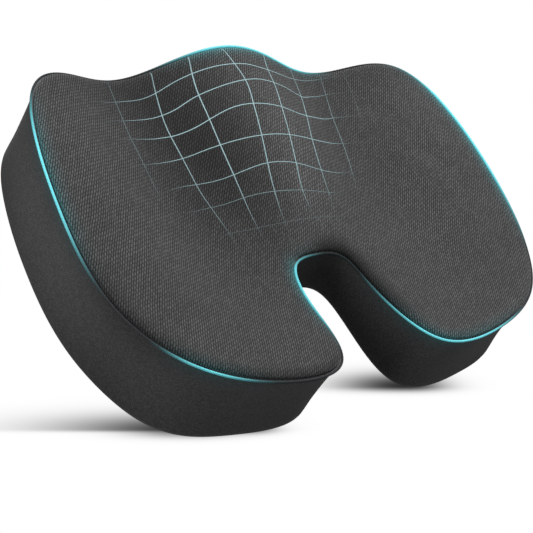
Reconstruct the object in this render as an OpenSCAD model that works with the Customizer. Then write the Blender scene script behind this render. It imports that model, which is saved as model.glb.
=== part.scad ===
// Contoured foam seat cushion with a tailbone notch and a removable zipped cover.
// Frame: +Z up, +X across the seat, -Y towards the sitter's knees, +Y towards the notch.
// The origin is the lower face of the middle grip dot, on the plane of symmetry.
// Every layer is an inset of one outline and one height rule, so the layers nest.

/* [Outline] */
// Front edge control point at the middle
front_mid_y = -162.3; // [-167:0.1:-158]
// Front edge control point across the thigh channels, sideways
front_side_x = 118.4; // [113:0.2:123]
// Front edge control point across the thigh channels, fore and aft
front_side_y = -143.1; // [-148:0.1:-140]
// Front corner, sideways
front_corner_x = 195.8; // [190:0.2:201]
// Front corner, fore and aft
front_corner_y = -145.2; // [-150:0.2:-141]
// Side ahead of the widest point, sideways
side_front_x = 219.5; // [214:0.5:225]
// Side ahead of the widest point, fore and aft
side_front_y = -80.1; // [-85:0.1:-75]
// Side at the widest point, sideways (the seam runs just inside it)
side_wide_x = 226.1; // [221:0.1:232]
// Side at the widest point, fore and aft
side_wide_y = -10.7; // [-16:0.1:-5]
// Side behind the widest point, sideways
side_rear_x = 224.6; // [219:0.2:230]
// Side behind the widest point, fore and aft
side_rear_y = 68.4; // [63:0.2:74]
// Rear corner, sideways
rear_corner_x = 186.4; // [181:0.2:192]
// Rear corner, fore and aft
rear_corner_y = 130.5; // [126:0.5:135]
// Rear edge of each lobe, sideways
lobe_x = 124.9; // [119:0.1:130]
// Rear edge of each lobe, fore and aft
lobe_y = 153.8; // [149:0.2:158]
// Inner corner of each lobe at the mouth of the notch, sideways
mouth_x = 46.4; // [42:0.2:51]
// Inner corner of each lobe at the mouth of the notch, fore and aft
mouth_y = 161; // [156:0.5:165]
// Notch wall half way in, sideways
notch_side_x = 37.7; // [35:0.1:43]
// Notch wall half way in, fore and aft
notch_side_y = 100.1; // [94:0.1:106]
// Notch corner, sideways
notch_end_x = 35.8; // [33:0.2:42]
// Notch end, fore and aft
notch_end_y = 41.8; // [37:0.2:47]

/* [Height] */
// Height of the side wings
wing_h = 87.6; // [83:0.2:93]
// Extra height from rear to front
rise_h = 4.1; // [1:0.1:7]
// Height of the front ridge above the wings
ridge_h = 4.2; // [1:0.1:8]
// Half width of the front ridge
ridge_w = 52.3; // [47:0.1:58]
// How far the ridge reaches back
ridge_l = 149.8; // [136:0.2:164]
// Depth of the two thigh channels
channel_h = 26.4; // [18:0.1:28]
// Distance of each channel from the middle
channel_x = 105.6; // [99:0.2:111]
// Half width of each channel
channel_w = 59.5; // [54:0.5:65]
// How far the channels reach back
channel_l = 232; // [222:1:250]
// Depth of the seat bowl in front of the notch
bowl_h = 31.4; // [20:0.2:33]
// Half width of the bowl
bowl_w = 188; // [150:1:200]
// Half length of the bowl
bowl_l = 90; // [75:1:95]
// Middle of the bowl, fore and aft
bowl_y = 62; // [57:1:70]
// Lift of the upper face at the two rear corners
corner_h = 1.7; // [0:0.1:4]
// How far the top seam lies below the crown of the rolled edge
crown_h = 5.2; // [4.6:0.1:7]
// Plan width of the rolled top edge
roll_w = 8.9; // [8.5:0.1:11]
// Radius of the rounded bottom edge
bottom_r = 7; // [6.5:0.5:9]
// Mean lean of the side wall, seam to floor (negative leans outward)
lean_mid = -2.2; // [-3.5:0.1:0]
// Change of that lean from the middle to the rear
lean_rear = -2; // [-5:0.1:0]
// Extra flare of the wall at the two rear corners
flare_rear = -6.4; // [-9:0.1:0]
// Extra flare of the wall behind the front corners
flare_side = 0.8; // [-1:0.1:2]

/* [Layers] */
// Thickness of the cover fabric
cover_t = 2; // [1.4:0.1:2]
// Inset of the inner liner from the cover's outside
liner_in = 4; // [3.9:0.1:4.2]
// Thickness of the inner liner
liner_t = 0.8; // [0.6:0.1:0.9]
// Inset of the foam from the cover's outside
foam_in = 6; // [5.9:0.1:6.3]
// Thickness of the cord sewn into the top seam
piping_d = 2.2; // [1.6:0.1:2.6]
// Gap left along sewn edges
seam_gap = 0.2; // [0.15:0.05:0.3]

/* [Grip dots] */
// Height of a grip dot
dot_h = 1; // [0.8:0.1:1.4]
// Radius of a grip dot
dot_r = 3.4; // [3:0.1:4]
// Spacing of the grip dots
dot_pitch = 26; // [24:1:32]

/* [Front face] */
// Place of the flat front face that carries the zip
flat_y = -150; // [-151:0.5:-149]
// Half length of the zipped opening
zip_half = 143; // [140:1:144]
// Height of the zip line
zip_z = 26; // [25:0.5:26.5]
// Half height of the gap between the two front bands
zip_gap = 5.2; // [5:0.1:5.6]
// Spacing of the zip elements
tooth_pitch = 2; // [1.8:0.1:2.6]
// Height of the carry handle's middle line
handle_z = 48; // [47:0.5:48.5]
// Reach of the handle's sewn ends from the middle
handle_end = 80; // [76:1:81]

/* [Hidden] */

cover_c = "#4a4c4f";
side_c = "#3b3c3f";
base_c = "#232427";
dot_c = "#101113";
liner_c = "#e4e4e0";
foam_c = "#f1ecd8";
cyan_c = "#6fd9ea";
label_c = "#e8e8e6";
zip_c = "#17181a";
tooth_c = "#0f1012";
metal_c = "#8f9296";
thread_c = "#2c2d30";

// ---- Outline: a closed uniform cubic B-spline, anticlockwise in its parameter u ----

notch_bulge = 1.4;  // how far the notch end's middle lies ahead of its corners
// Control points [x, y] of the +X half, from front middle to notch end
half = [
  [0, front_mid_y], [front_side_x, front_side_y], [front_corner_x, front_corner_y],
  [side_front_x, side_front_y], [side_wide_x, side_wide_y], [side_rear_x, side_rear_y],
  [rear_corner_x, rear_corner_y], [lobe_x, lobe_y], [mouth_x, mouth_y],
  [notch_side_x, notch_side_y], [notch_end_x, notch_end_y], [0, notch_end_y - notch_bulge]];
notch_u = len(half) - 1;  // u at the notch end
mouth_u = 8;              // u at the lobe's inner corner
ctrl = [for (p = half) p, for (i = [notch_u - 1:-1:1]) [-half[i][0], half[i][1]]];
turn_u = len(ctrl);       // u once round

function ctrl_at(i) = ctrl[((i % turn_u) + turn_u) % turn_u];
// Seam line seen from above
function plan(u) = let(i = floor(u), t = u - i)
  (pow(1 - t, 3) * ctrl_at(i - 1)
  + (3 * t * t * t - 6 * t * t + 4) * ctrl_at(i)
  + (-3 * t * t * t + 3 * t * t + 3 * t + 1) * ctrl_at(i + 1)
  + t * t * t * ctrl_at(i + 2)) / 6;
function tangent(u) = let(i = floor(u), t = u - i)
  (-3 * (1 - t) * (1 - t) * ctrl_at(i - 1)
  + (9 * t * t - 12 * t) * ctrl_at(i)
  + (-9 * t * t + 6 * t + 3) * ctrl_at(i + 1)
  + 3 * t * t * ctrl_at(i + 2)) / 6;
function inward(u) = let(d = tangent(u)) [-d[1], d[0]] / norm(d);

// The u between low and high where the front edge passes x, by bisection
function find_u(x, low, high, tries = 16) = let(mid = (low + high) / 2)
  tries == 0 ? mid
  : plan(mid)[0] < x ? find_u(x, mid, high, tries - 1) : find_u(x, low, mid, tries - 1);
zip_u = find_u(zip_half, 0, 2);

// ---- Height rule and side wall; d is always the inset from the cover's outside ----

half_depth = 190;    // the height rule runs from -half_depth to +half_depth in y
reach_fade = 0.14;   // softness of a feature's rear end, as a share of its length
middle_soft = 20;    // rounds off abs(x) where the two channels meet
middle_shift = 1.9;
lean_depth = 170;    // y over which lean_rear builds up
lean_power = 1.5;
flat_full_x = 144;   // the front is fully flat inside this x
flat_end_x = 184;    // and follows the outline outside this one
flat_drop = 0.34;    // share of the wall height over which it becomes flat
wall_foot_z = dot_h + bottom_r;

function clamp(v) = min(max(v, 0), 1);
function smooth(v) = let(c = clamp(v)) c * c * (3 - 2 * c);
// 1 in front, falling to 0 past a length back from the front
function reach(y, length) = 1 / (1 + exp(-(-y - half_depth + length) / (reach_fade * length)));
// 1 at a centre and at its mirror image in x, falling away round both
function bump(p, centre, size) =
  exp(-pow((abs(p[0]) - centre[0]) / size[0], 2) - pow((p[1] - centre[1]) / size[1], 2));
function rear_bump(p) = bump(p, centre = [175, 130], size = [45, 45]);
function side_bump(p) = bump(p, centre = [210, -60], size = [40, 60]);

// Height of the cover's upper face: wings, ridge, two channels, seat bowl and rear corners
function top_z(x, y) = let(soft_x = sqrt(x * x + pow(middle_soft, 2)) - middle_shift)
  wing_h + rise_h * clamp((half_depth - y) / (2 * half_depth))
  + ridge_h * exp(-pow(x / ridge_w, 2)) * reach(y, ridge_l)
  - channel_h * exp(-pow((soft_x - channel_x) / channel_w, 2)) * reach(y, channel_l)
  - bowl_h * bump([x, y], [0, bowl_y], [bowl_w, bowl_l])
  + corner_h * rear_bump([x, y]);
function seam_z(u) = let(s = plan(u)) top_z(s[0], s[1]) - crown_h;

// Rolled edge: angle 0 at the seam, 90 where the top begins
function roll(u, angle, d) = let(p = plan(u) + inward(u) * (d + (roll_w - d) * (1 - cos(angle))))
  [p[0], p[1], top_z(p[0], p[1]) - d - crown_h * (1 - sin(angle))];

// Side wall at height z; the lower front is pulled flat for the zip
function wall(u, z, d) =
  let(s = plan(u),
    drop = clamp(1 - z / seam_z(u)),
    lean = lean_mid + lean_rear * s[1] / lean_depth
      + flare_rear * rear_bump(s) + flare_side * side_bump(s),
    p = s + inward(u) * (d + lean * pow(drop, lean_power)),
    flat = s[1] < 0
      ? smooth((flat_end_x - abs(p[0])) / (flat_end_x - flat_full_x)) * smooth(drop / flat_drop)
      : 0)
  [p[0], p[1] * (1 - flat) + (flat_y + d) * flat, z];
// Wall point at a share t of the way from z0 to z1
function wall_between(u, z0, z1, t, d) = wall(u, z0 + (z1 - z0) * t, d);
function wall_top(u, d, gap) = roll(u, 0, d)[2] - gap;
// Bottom rounding: angle 0 under the edge, 90 where the wall begins
function foot(u, angle, d) = let(r = bottom_r - d)
  wall(u, wall_foot_z - r * cos(angle), bottom_r - r * sin(angle));
// Wall point over a given x of the front edge
function front(x, z, d) = wall(find_u(x, -2, 2), z, d);

// Levels of the side wall, from 0 at the seam down to the last one under the edge
levels = 6;
function level_pt(u, i, d, gap) = i < 3
  ? wall_between(u, wall_foot_z, wall_top(u, d, gap), 1 - i / 3, d)
  : foot(u, 90 - 45 * (i - 3), d);

// ---- Top grid: a horseshoe of strips, from the outside edge round to the notch edge ----

strips = 37;      // on each half
roll_steps = 3;   // round each rolled edge
top_steps = 7;    // across the top
last_row = 2 * roll_steps + top_steps;

// Strips are closest along the front, where the edge dips into the channels
front_strips = 15;
front_step = 0.16;
corner_strips = 9;
corner_step = 0.32;
front_end_u = front_strips * front_step;
corner_end = front_strips + corner_strips;
corner_end_u = front_end_u + corner_strips * corner_step;
function outer_u(j) = let(q = abs(j)) sign(j)
  * (q <= front_strips ? front_step * q
  : q <= corner_end ? front_end_u + corner_step * (q - front_strips)
  : corner_end_u + (mouth_u - corner_end_u) * (q - corner_end) / (strips - corner_end));
function inner_u(j) = notch_u - (notch_u - mouth_u) * j / strips;

// Point of strip line j, row 0 on the outside seam and last_row on the notch seam
function top_pt(j, row, d) = let(uo = outer_u(j), ui = inner_u(j))
  row <= roll_steps ? roll(uo, 90 * row / roll_steps, d)
  : row >= roll_steps + top_steps ? roll(ui, 90 * (last_row - row) / roll_steps, d)
  : let(a = roll(uo, 90, d), b = roll(ui, 90, d), t = (row - roll_steps) / top_steps,
      x = a[0] + (b[0] - a[0]) * t, y = a[1] + (b[1] - a[1]) * t)
    [x, y, top_z(x, y) - d];
// Full lines first, then the two lobe tips, where a line folds onto itself
function top_pts(d) = [
  for (j = [-strips + 1:strips - 1]) for (row = [0:last_row]) top_pt(j, row, d),
  for (tip = [-strips, strips]) for (row = [0:roll_steps]) top_pt(tip, row, d)];
tips_start = (2 * strips - 1) * (last_row + 1);
top_count = tips_start + 2 * (roll_steps + 1);
// Vertex number of a top point
function top_id(j, row) = abs(j) < strips
  ? (j + strips - 1) * (last_row + 1) + row
  : tips_start + (j < 0 ? 0 : roll_steps + 1) + min(row, last_row - row, roll_steps);

// Edge of the grid, anticlockwise, and the u of each of its points
rim = [for (j = [-strips:strips]) top_id(j, 0),
  for (j = [strips - 1:-1:-strips + 1]) top_id(j, last_row)];
rim_u = [for (j = [-strips:strips]) outer_u(j),
  for (j = [strips - 1:-1:-strips + 1]) inner_u(j)];
rim_count = len(rim);

// ---- Faces ----

function quad(a, b, c, d) = [[a, b, c], [a, c, d]];
// False for a triangle that has collapsed at a lobe tip
function proper(f) = f[0] != f[1] && f[1] != f[2] && f[0] != f[2];
function flip(faces, start) = [for (f = faces) [f[2], f[1], f[0]] + [start, start, start]];
function ring_ids(start) = [for (i = [0:rim_count - 1]) start + i];
// Faces between two closed rings of the same count, upper ring first
function belt(upper, lower) = [for (i = [0:len(upper) - 1]) let(k = (i + 1) % len(upper))
  for (f = quad(upper[i], upper[k], lower[k], lower[i])) f];
// Belts down a stack of rings
function belts(start, rings) = [for (i = [0:rings - 2])
  for (f = belt(ring_ids(start + i * rim_count), ring_ids(start + (i + 1) * rim_count))) f];
function top_faces() = [for (j = [-strips:strips - 1]) for (row = [0:last_row - 1])
  for (f = quad(top_id(j, row), top_id(j, row + 1), top_id(j + 1, row + 1), top_id(j + 1, row)))
    if (proper(f)) f];
// Flat floor inside the ring that starts at a given vertex
function floor_faces(start) = [for (j = [-strips:strips - 1])
  let(a = j + strips, q = 3 * strips - j)
  for (f = quad(a, a + 1, (q - 1) % rim_count, q % rim_count))
    if (proper(f)) f + [start, start, start]];

// ---- Building blocks ----

// Closed sheet: outer points with their faces, the same turned inside, joined along the edge
module shell(outer, inner, faces, edge) {
  start = len(outer);
  polyhedron(points = concat(outer, inner),
    faces = concat(faces, flip(faces, start), belt(edge, [for (i = edge) i + start])),
    convexity = 8);
}

// Sheet of the top between insets d0 and d1
module top_sheet(d0, d1) {
  shell(top_pts(d0), top_pts(d1), top_faces(), rim);
}

// Solid block under the top at inset d; the rim of the top is its level 0
module block(d) {
  polyhedron(
    points = concat(top_pts(d),
      [for (i = [1:levels - 1]) for (u = rim_u) level_pt(u, i, d, 0)]),
    faces = concat(top_faces(), belt(rim, ring_ids(top_count)), belts(top_count, levels - 1),
      floor_faces(top_count + (levels - 2) * rim_count)),
    convexity = 8);
}

// Open tray: side and bottom between insets d0 and d1
module tray(d0, d1, gap) {
  shell([for (i = [0:levels - 1]) for (u = rim_u) level_pt(u, i, d0, gap)],
    [for (i = [0:levels - 1]) for (u = rim_u) level_pt(u, i, d1, gap)],
    concat(belts(0, levels), floor_faces((levels - 1) * rim_count)),
    [for (i = [rim_count - 1:-1:0]) i]);
}

// Closed sheet between two grids, given as columns along the wall with rows upwards
module slab(outer, inner) {
  columns = len(outer);
  rows = len(outer[0]);
  faces = [for (i = [0:columns - 2]) for (r = [0:rows - 2]) let(a = i * rows + r)
    for (f = quad(a, a + 1, a + rows + 1, a + rows)) f];
  edge = [for (i = [0:columns - 2]) i * rows,
    for (r = [0:rows - 2]) (columns - 1) * rows + r,
    for (i = [columns - 1:-1:1]) i * rows + rows - 1,
    for (r = [rows - 1:-1:1]) r];
  shell([for (column = outer) for (p = column) p], [for (column = inner) for (p = column) p],
    faces, edge);
}

function steps(from, to, count) = [for (i = [0:count]) from + (to - from) * i / count];

// Round bar between two points
module rod(a, b, r) {
  d = b - a;
  translate(a) rotate([0, acos(d[2] / norm(d)), atan2(d[1], d[0])])
    cylinder(r = r, h = norm(d), $fn = 16);
}

// ---- Foam and liner ----

liner_gap = 0.9;  // between the liner's tray and its upper sheet

module foam_core() { color(foam_c) block(foam_in); }
module inner_liner_upper() { color(liner_c) top_sheet(liner_in, liner_in + liner_t); }
module inner_liner_lower() { color(liner_c) tray(liner_in, liner_in + liner_t, liner_gap); }

// ---- Cover panels ----

band_gap_u = 0.003;  // between the side band and the ends of the front bands
near_u = 0.02;       // rim points nearer than this to a band's end are skipped
base_ease = 0.1;     // added to the seam gap round the bottom panel

front_us = [-zip_u, for (u = rim_u) if (abs(u) < zip_u - near_u) u, zip_u];
side_us = [zip_u + band_gap_u,
  for (u = rim_u) if (u > zip_u + near_u) u,
  for (u = rim_u) if (u < -zip_u - near_u) u + turn_u,
  turn_u - zip_u - band_gap_u];

// Columns of wall points, bottom row first
function side_column(u, d) = [for (i = [levels - 1:-1:0]) level_pt(u, i, d, seam_gap)];
function upper_column(u, d) = [for (t = steps(0, 1, 4))
  wall_between(u, zip_z + zip_gap, wall_top(u, d, seam_gap), t, d)];
function lower_column(u, d) = [for (angle = [0, 45, 90]) foot(u, angle, d),
  for (t = [0.5, 1]) wall_between(u, wall_foot_z, zip_z - zip_gap, t, d)];

module top_panel() { color(cover_c) top_sheet(0, cover_t); }
module side_band() {
  color(side_c) slab([for (u = side_us) side_column(u, 0)],
    [for (u = side_us) side_column(u, cover_t)]);
}
module front_band_upper() {
  color(side_c) slab([for (u = front_us) upper_column(u, 0)],
    [for (u = front_us) upper_column(u, cover_t)]);
}
module front_band_lower() {
  color(side_c) slab([for (u = front_us) lower_column(u, 0)],
    [for (u = front_us) lower_column(u, cover_t)]);
}

// Plan outline of the flat bottom, drawn in by a margin
function base_line(margin) = [for (u = rim_u) let(p = foot(u, 0, cover_t))
  [p[0], p[1]] + inward(u) * margin];
module bottom_panel() {
  color(base_c) translate([0, 0, dot_h]) linear_extrude(cover_t)
    polygon(base_line(seam_gap + base_ease));
}

// Cord along the whole top seam, just outside it
piping_sides = 6;
piping_gap = 0.15;
module top_piping() {
  s = piping_sides;
  r = piping_d / 2;
  pts = [for (u = rim_u) for (i = [0:s - 1])
    let(angle = 360 * i / s, p = plan(u) + inward(u) * (r * cos(angle) - r - piping_gap))
    [p[0], p[1], seam_z(u) + r * sin(angle)]];
  faces = [for (i = [0:rim_count - 1]) for (a = [0:s - 1])
    let(b = (a + 1) % s, next = (i + 1) % rim_count)
    for (f = quad(i * s + a, next * s + a, next * s + b, i * s + b)) f];
  color(cyan_c) polyhedron(points = pts, faces = faces, convexity = 8);
}

// ---- Underside ----

label_at = [-78, -104];
label_size = [52, 30];
label_t = 0.35;
label_drop = 0.4;   // label's lower face below the bottom panel
dot_clear = 6;      // from a dot to the edge, and from its middle to the label
dot_taper = 0.6;
dot_gap = 0.02;     // between a dot and the bottom panel
row_ratio = 0.866;  // row spacing over dot spacing
dot_zone = base_line(dot_r + dot_clear);

// Whether a ray from p towards +X crosses the line from a to b
function crosses(p, a, b) = (a[1] > p[1]) != (b[1] > p[1])
  && p[0] < (b[0] - a[0]) * (p[1] - a[1]) / (b[1] - a[1]) + a[0];
function within(p, outline) = len([for (i = [0:len(outline) - 1])
  if (crosses(p, outline[i], outline[(i + 1) % len(outline)])) i]) % 2 == 1;
function off_label(p, axis) =
  abs(p[axis] - label_at[axis]) > label_size[axis] / 2 + dot_clear;

// Staggered grid that keeps clear of the edge and of the label
module grip_dots() {
  color(dot_c) for (i = [-12:12]) for (k = [-16:16]) {
    p = [dot_pitch * (k + (i % 2 == 0 ? 0 : 0.5)), dot_pitch * row_ratio * i];
    if (within(p, dot_zone) && (off_label(p, 0) || off_label(p, 1)))
      translate([p[0], p[1], 0])
        cylinder(h = dot_h - dot_gap, r1 = dot_r - dot_taper, r2 = dot_r, $fn = 32);
  }
}

// Blank label under the front, on the -X side
module care_label() {
  color(label_c)
    translate([label_at[0] - label_size[0] / 2, label_at[1] - label_size[1] / 2, dot_h - label_drop])
      cube([label_size[0], label_size[1], label_t]);
}

// ---- Zip: tapes behind the band edges, elements in the gap ----

tape_in = 2.2;      // insets from the flat front face
tooth_in = 1.7;
stop_in = 0.9;
tape_t = 0.6;
tape_h = 12.1;
tape_end = 1;       // tape stops this far short of the opening's end
tooth_r = 0.45;
tooth_h = 3.3;
stop_t = 1.2;
stop_h = 2.2;
bottom_stop_h = 6.8;
thread_r = 0.3;
zip_stitch_pitch = 3.6;
zip_stitch_l = 2.6;
zip_stitch_z = 7.4;     // stitch rows above and below the zip line
zip_stitch_out = 0.33;  // in front of the flat face

// Base height of a part that starts a gap above (side 1) or below (side -1) the zip line
function beside_zip(side, gap, h) = zip_z + (side > 0 ? gap : -gap - h);

module tape(side) {
  color(zip_c)
    translate([-zip_half + tape_end, flat_y + tape_in, beside_zip(side, 0.9, tape_h)])
      cube([2 * (zip_half - tape_end), tape_t, tape_h]);
}
// The lower row is offset by half a pitch
module teeth(side) {
  shift = side > 0 ? 0 : tooth_pitch / 2;
  color(tooth_c) for (x = [-zip_half + 12:tooth_pitch:zip_half - 13])
    translate([x + shift, flat_y + tooth_in, beside_zip(side, 0.4, tooth_h)])
      cylinder(r = tooth_r, h = tooth_h, $fn = 16);
}
module zip_tape_upper() { tape(1); }
module zip_tape_lower() { tape(-1); }
module zip_teeth_upper() { teeth(1); }
module zip_teeth_lower() { teeth(-1); }
module zip_top_stops() {
  color(metal_c) for (side = [-1, 1])
    translate([zip_half - 8, flat_y + stop_in, beside_zip(side, 1.5, stop_h)])
      cube([1.8, stop_t, stop_h]);
}
module zip_bottom_stop() {
  color(metal_c) translate([-zip_half + 7, flat_y + stop_in, zip_z - bottom_stop_h / 2])
    cube([2.2, stop_t, bottom_stop_h]);
}

// Slider, near the +X end, and the pin its pull turns on
slider_x = zip_half - 15.5;
pin_x = slider_x - 0.5;
pin_y = flat_y - 1.75;
pin_r = 0.6;
pin_h = 4.6;
lug_r = 1.25;
lug_h = 0.8;
flange_h = 0.45;
body_y = flat_y + 0.8;  // front of the parts between the plates

// Slider plate with half height narrow at its -X end and wide at its +X end
module plate(narrow, wide, y, t) {
  translate([slider_x, y + t, zip_z]) rotate([90, 0, 0]) linear_extrude(t)
    polygon([
      [-5.5, -narrow], [-4.6, -narrow - 0.5], [1, -wide], [4.6, -wide], [5.6, -wide + 1],
      [5.6, wide - 1], [4.6, wide], [1, wide], [-4.6, narrow + 0.5], [-5.5, narrow]]);
}
module zip_slider() {
  color(metal_c) union() {
    plate(narrow = 3.4, wide = 4.4, y = flat_y - 0.1, t = 1.05);
    plate(narrow = 3.0, wide = 3.9, y = flat_y + 2.95, t = 0.8);
    // Post joining the plates
    translate([slider_x + 1.6, body_y, zip_z - 0.25]) cube([3, 2.4, 0.5]);
    for (side = [-1, 1]) {
      lug_z = beside_zip(side, 1.9, lug_h);
      // Flange
      translate([slider_x - 0.6, body_y, beside_zip(side, 3.9, flange_h)])
        cube([5.4, 1.2, flange_h]);
      // Lug that holds the pin
      translate([pin_x, pin_y, lug_z]) cylinder(r = lug_r, h = lug_h, $fn = 24);
      translate([pin_x - lug_r, pin_y, lug_z]) cube([2 * lug_r, 1.8, lug_h]);
    }
    translate([pin_x, pin_y, zip_z - pin_h / 2]) cylinder(r = pin_r, h = pin_h, $fn = 24);
  }
}

// Barrel on the pin, neck and tab with a round hole, pointing to -X
barrel_r = 1.15;
barrel_h = 3.4;
pull_t = 1.2;
tab_h = 6.4;
module zip_pull() {
  color(metal_c) difference() {
    union() {
      translate([pin_x, pin_y, zip_z - barrel_h / 2])
        cylinder(r = barrel_r, h = barrel_h, $fn = 24);
      translate([pin_x - 4, pin_y - pull_t / 2, zip_z - barrel_h / 2])
        cube([4, pull_t, barrel_h]);
      translate([pin_x - 25, pin_y - pull_t / 2, zip_z - tab_h / 2]) cube([21.5, pull_t, tab_h]);
    }
    translate([pin_x, pin_y, zip_z - 3]) cylinder(r = pin_r + 0.06, h = 6, $fn = 24);
    translate([pin_x - 21, pin_y - 1, zip_z]) rotate([-90, 0, 0])
      cylinder(r = 1.5, h = 2, $fn = 24);
  }
}
module zip_stitching() {
  y = flat_y - zip_stitch_out;
  color(thread_c) for (side = [-1, 1]) for (x = [-zip_half + 4:zip_stitch_pitch:zip_half - 6]) {
    z = zip_z + side * zip_stitch_z;
    rod([x, y, z], [x + zip_stitch_l, y, z], thread_r);
  }
}

// ---- Webbing handle ----

end_l = 28;           // sewn end
end_half_h = 12;
end_outer_d = -1.9;   // negative insets lie outside the front band
end_inner_d = -0.5;
end_stitch_d = -2.34;
grip_half = 48;       // half length of the folded grip
grip_steps = 24;
grip_sides = 16;

// Two ends sewn flat to the upper front band
module handle_ends() {
  color(zip_c) for (side = [-1, 1]) {
    x0 = side > 0 ? handle_end - end_l : -handle_end;
    xs = steps(x0, x0 + end_l, 5);
    zs = steps(handle_z - end_half_h, handle_z + end_half_h, 5);
    slab([for (x = xs) [for (z = zs) front(x, z, end_outer_d)]],
      [for (x = xs) [for (z = zs) front(x, z, end_inner_d)]]);
  }
}

// Squared-off circle
function squared(v) = sign(v) * pow(abs(v), 0.7);
// Grip section at x: thicker, taller and further out towards the middle
function grip_pt(x, angle) =
  let(bow = 1 - pow(x / grip_half, 2), half_t = 1.5 + 0.7 * bow, half_h = 4.5 + 2 * bow)
  [x, flat_y - (5 + 6 * bow + half_t) - half_t * squared(cos(angle)),
    handle_z + half_h * squared(sin(angle))];
module handle_grip() {
  s = grip_sides;
  pts = [for (x = steps(-grip_half, grip_half, grip_steps)) for (a = [0:s - 1])
    grip_pt(x, 360 * a / s)];
  faces = concat(
    [for (i = [0:grip_steps - 1]) for (a = [0:s - 1]) let(b = (a + 1) % s)
      for (f = quad(i * s + a, i * s + b, (i + 1) * s + b, (i + 1) * s + a)) f],
    [[for (a = [s - 1:-1:0]) a]],
    [[for (a = [0:s - 1]) grip_steps * s + a]]);
  color(zip_c) polyhedron(points = pts, faces = faces, convexity = 4);
}

// Box stitch with a cross on each sewn end, sizes as [x, z] from its centre
box_half = [10, 9];
cross_far = box_half - [2, 2];
cross_near = [1.6, 1.4];
stitch_pitch = 3.3;
stitch_l = 2.3;
corners = [[-1, -1], [1, -1], [1, 1], [-1, 1]];
function corner(i, size) = [corners[i % 4][0] * size[0], corners[i % 4][1] * size[1]];
stitch_lines = [
  for (i = [0:3]) [corner(i, box_half), corner(i + 1, box_half)],
  for (i = [0, 1]) [corner(i, cross_far), corner(i, cross_near)],
  for (i = [2, 3]) [corner(i, cross_near), corner(i, cross_far)]];
// Start and end of each stitch, evenly spread from a to b
function stitches(a, b) = let(d = norm(b - a), count = floor(d / stitch_pitch))
  [for (i = [0:count - 1]) let(start = (i + 0.5) * d / count - stitch_l / 2)
    [a + (b - a) * start / d, a + (b - a) * (start + stitch_l) / d]];
module handle_stitching() {
  color(thread_c) for (side = [-1, 1]) {
    centre = [side * (handle_end - end_l / 2), handle_z];
    for (line = stitch_lines) for (e = stitches(centre + line[0], centre + line[1]))
      rod(front(e[0][0], e[0][1], end_stitch_d), front(e[1][0], e[1][1], end_stitch_d), thread_r);
  }
}

foam_core();
inner_liner_upper();
inner_liner_lower();
top_panel();
side_band();
front_band_upper();
front_band_lower();
bottom_panel();
grip_dots();
top_piping();
care_label();
zip_tape_upper();
zip_tape_lower();
zip_teeth_upper();
zip_teeth_lower();
zip_top_stops();
zip_bottom_stop();
zip_slider();
zip_pull();
zip_stitching();
handle_ends();
handle_grip();
handle_stitching();
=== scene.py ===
import math

import bmesh
import bpy
import numpy as np
from mathutils import Matrix, Vector
from mathutils.kdtree import KDTree


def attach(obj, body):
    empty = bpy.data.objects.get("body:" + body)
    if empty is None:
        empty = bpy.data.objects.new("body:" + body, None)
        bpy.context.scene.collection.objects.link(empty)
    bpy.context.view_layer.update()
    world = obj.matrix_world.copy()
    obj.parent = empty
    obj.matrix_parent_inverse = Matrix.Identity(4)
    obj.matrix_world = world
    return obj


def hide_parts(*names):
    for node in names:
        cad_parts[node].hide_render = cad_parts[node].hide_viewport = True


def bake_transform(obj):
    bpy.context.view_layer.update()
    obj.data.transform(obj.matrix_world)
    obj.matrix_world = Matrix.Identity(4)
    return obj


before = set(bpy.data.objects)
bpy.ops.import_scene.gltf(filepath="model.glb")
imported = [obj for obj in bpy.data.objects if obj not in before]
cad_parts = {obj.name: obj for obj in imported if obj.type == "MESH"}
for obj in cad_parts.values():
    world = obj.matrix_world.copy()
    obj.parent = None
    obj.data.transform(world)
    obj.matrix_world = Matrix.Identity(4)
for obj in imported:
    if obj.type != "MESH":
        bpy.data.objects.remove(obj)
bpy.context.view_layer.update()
MM = 0.001
scene = bpy.context.scene

# ---------------------------------------------------------------- outline and height rules (mm)
HALF = np.array([[0, -162.3], [118.4, -143.1], [195.8, -145.2], [219.5, -80.1], [226.1, -10.7], [224.6, 68.4], [186.4, 130.5],
                 [124.9, 153.8], [46.4, 161], [37.7, 100.1], [35.8, 41.8], [0, 40.4]], float)
CTRL = np.vstack([HALF, [[-x, y] for x, y in HALF[-2:0:-1]]])
L = len(CTRL)
K, M = 11.0, 8.0
CROWN, ROLL, FOOT_R, DOT_H = 5.2, 8.9, 7.0, 1.0
LEAN_MID, LEAN_REAR, FLARE_REAR, FLARE_SIDE, FLAT_Y = -2.2, -2.0, -6.4, 0.8, -150.0
ZIP_Z, ZIP_GAP, ZIP_HALF = 26.0, 5.2, 143.0
HANDLE_Z, HANDLE_END = 48.0, 80.0


def plan(u):
    u = np.asarray(u, float)
    i = np.floor(u).astype(int)
    t = (u - i)[..., None]
    c = lambda k: CTRL[(i + k) % L]
    return ((1 - t) ** 3 * c(-1) + (3 * t ** 3 - 6 * t * t + 4) * c(0)
            + (-3 * t ** 3 + 3 * t * t + 3 * t + 1) * c(1) + t ** 3 * c(2)) / 6


def tangent(u):
    u = np.asarray(u, float)
    i = np.floor(u).astype(int)
    t = (u - i)[..., None]
    c = lambda k: CTRL[(i + k) % L]
    return (-3 * (1 - t) ** 2 * c(-1) + (9 * t * t - 12 * t) * c(0)
            + (-9 * t * t + 6 * t + 3) * c(1) + 3 * t * t * c(2)) / 6


def inward(u):
    d = tangent(u)
    d = np.stack([-d[..., 1], d[..., 0]], -1)
    return d / np.linalg.norm(d, axis=-1, keepdims=True)


def smooth(v):
    c = np.clip(v, 0, 1)
    return c * c * (3 - 2 * c)


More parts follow.
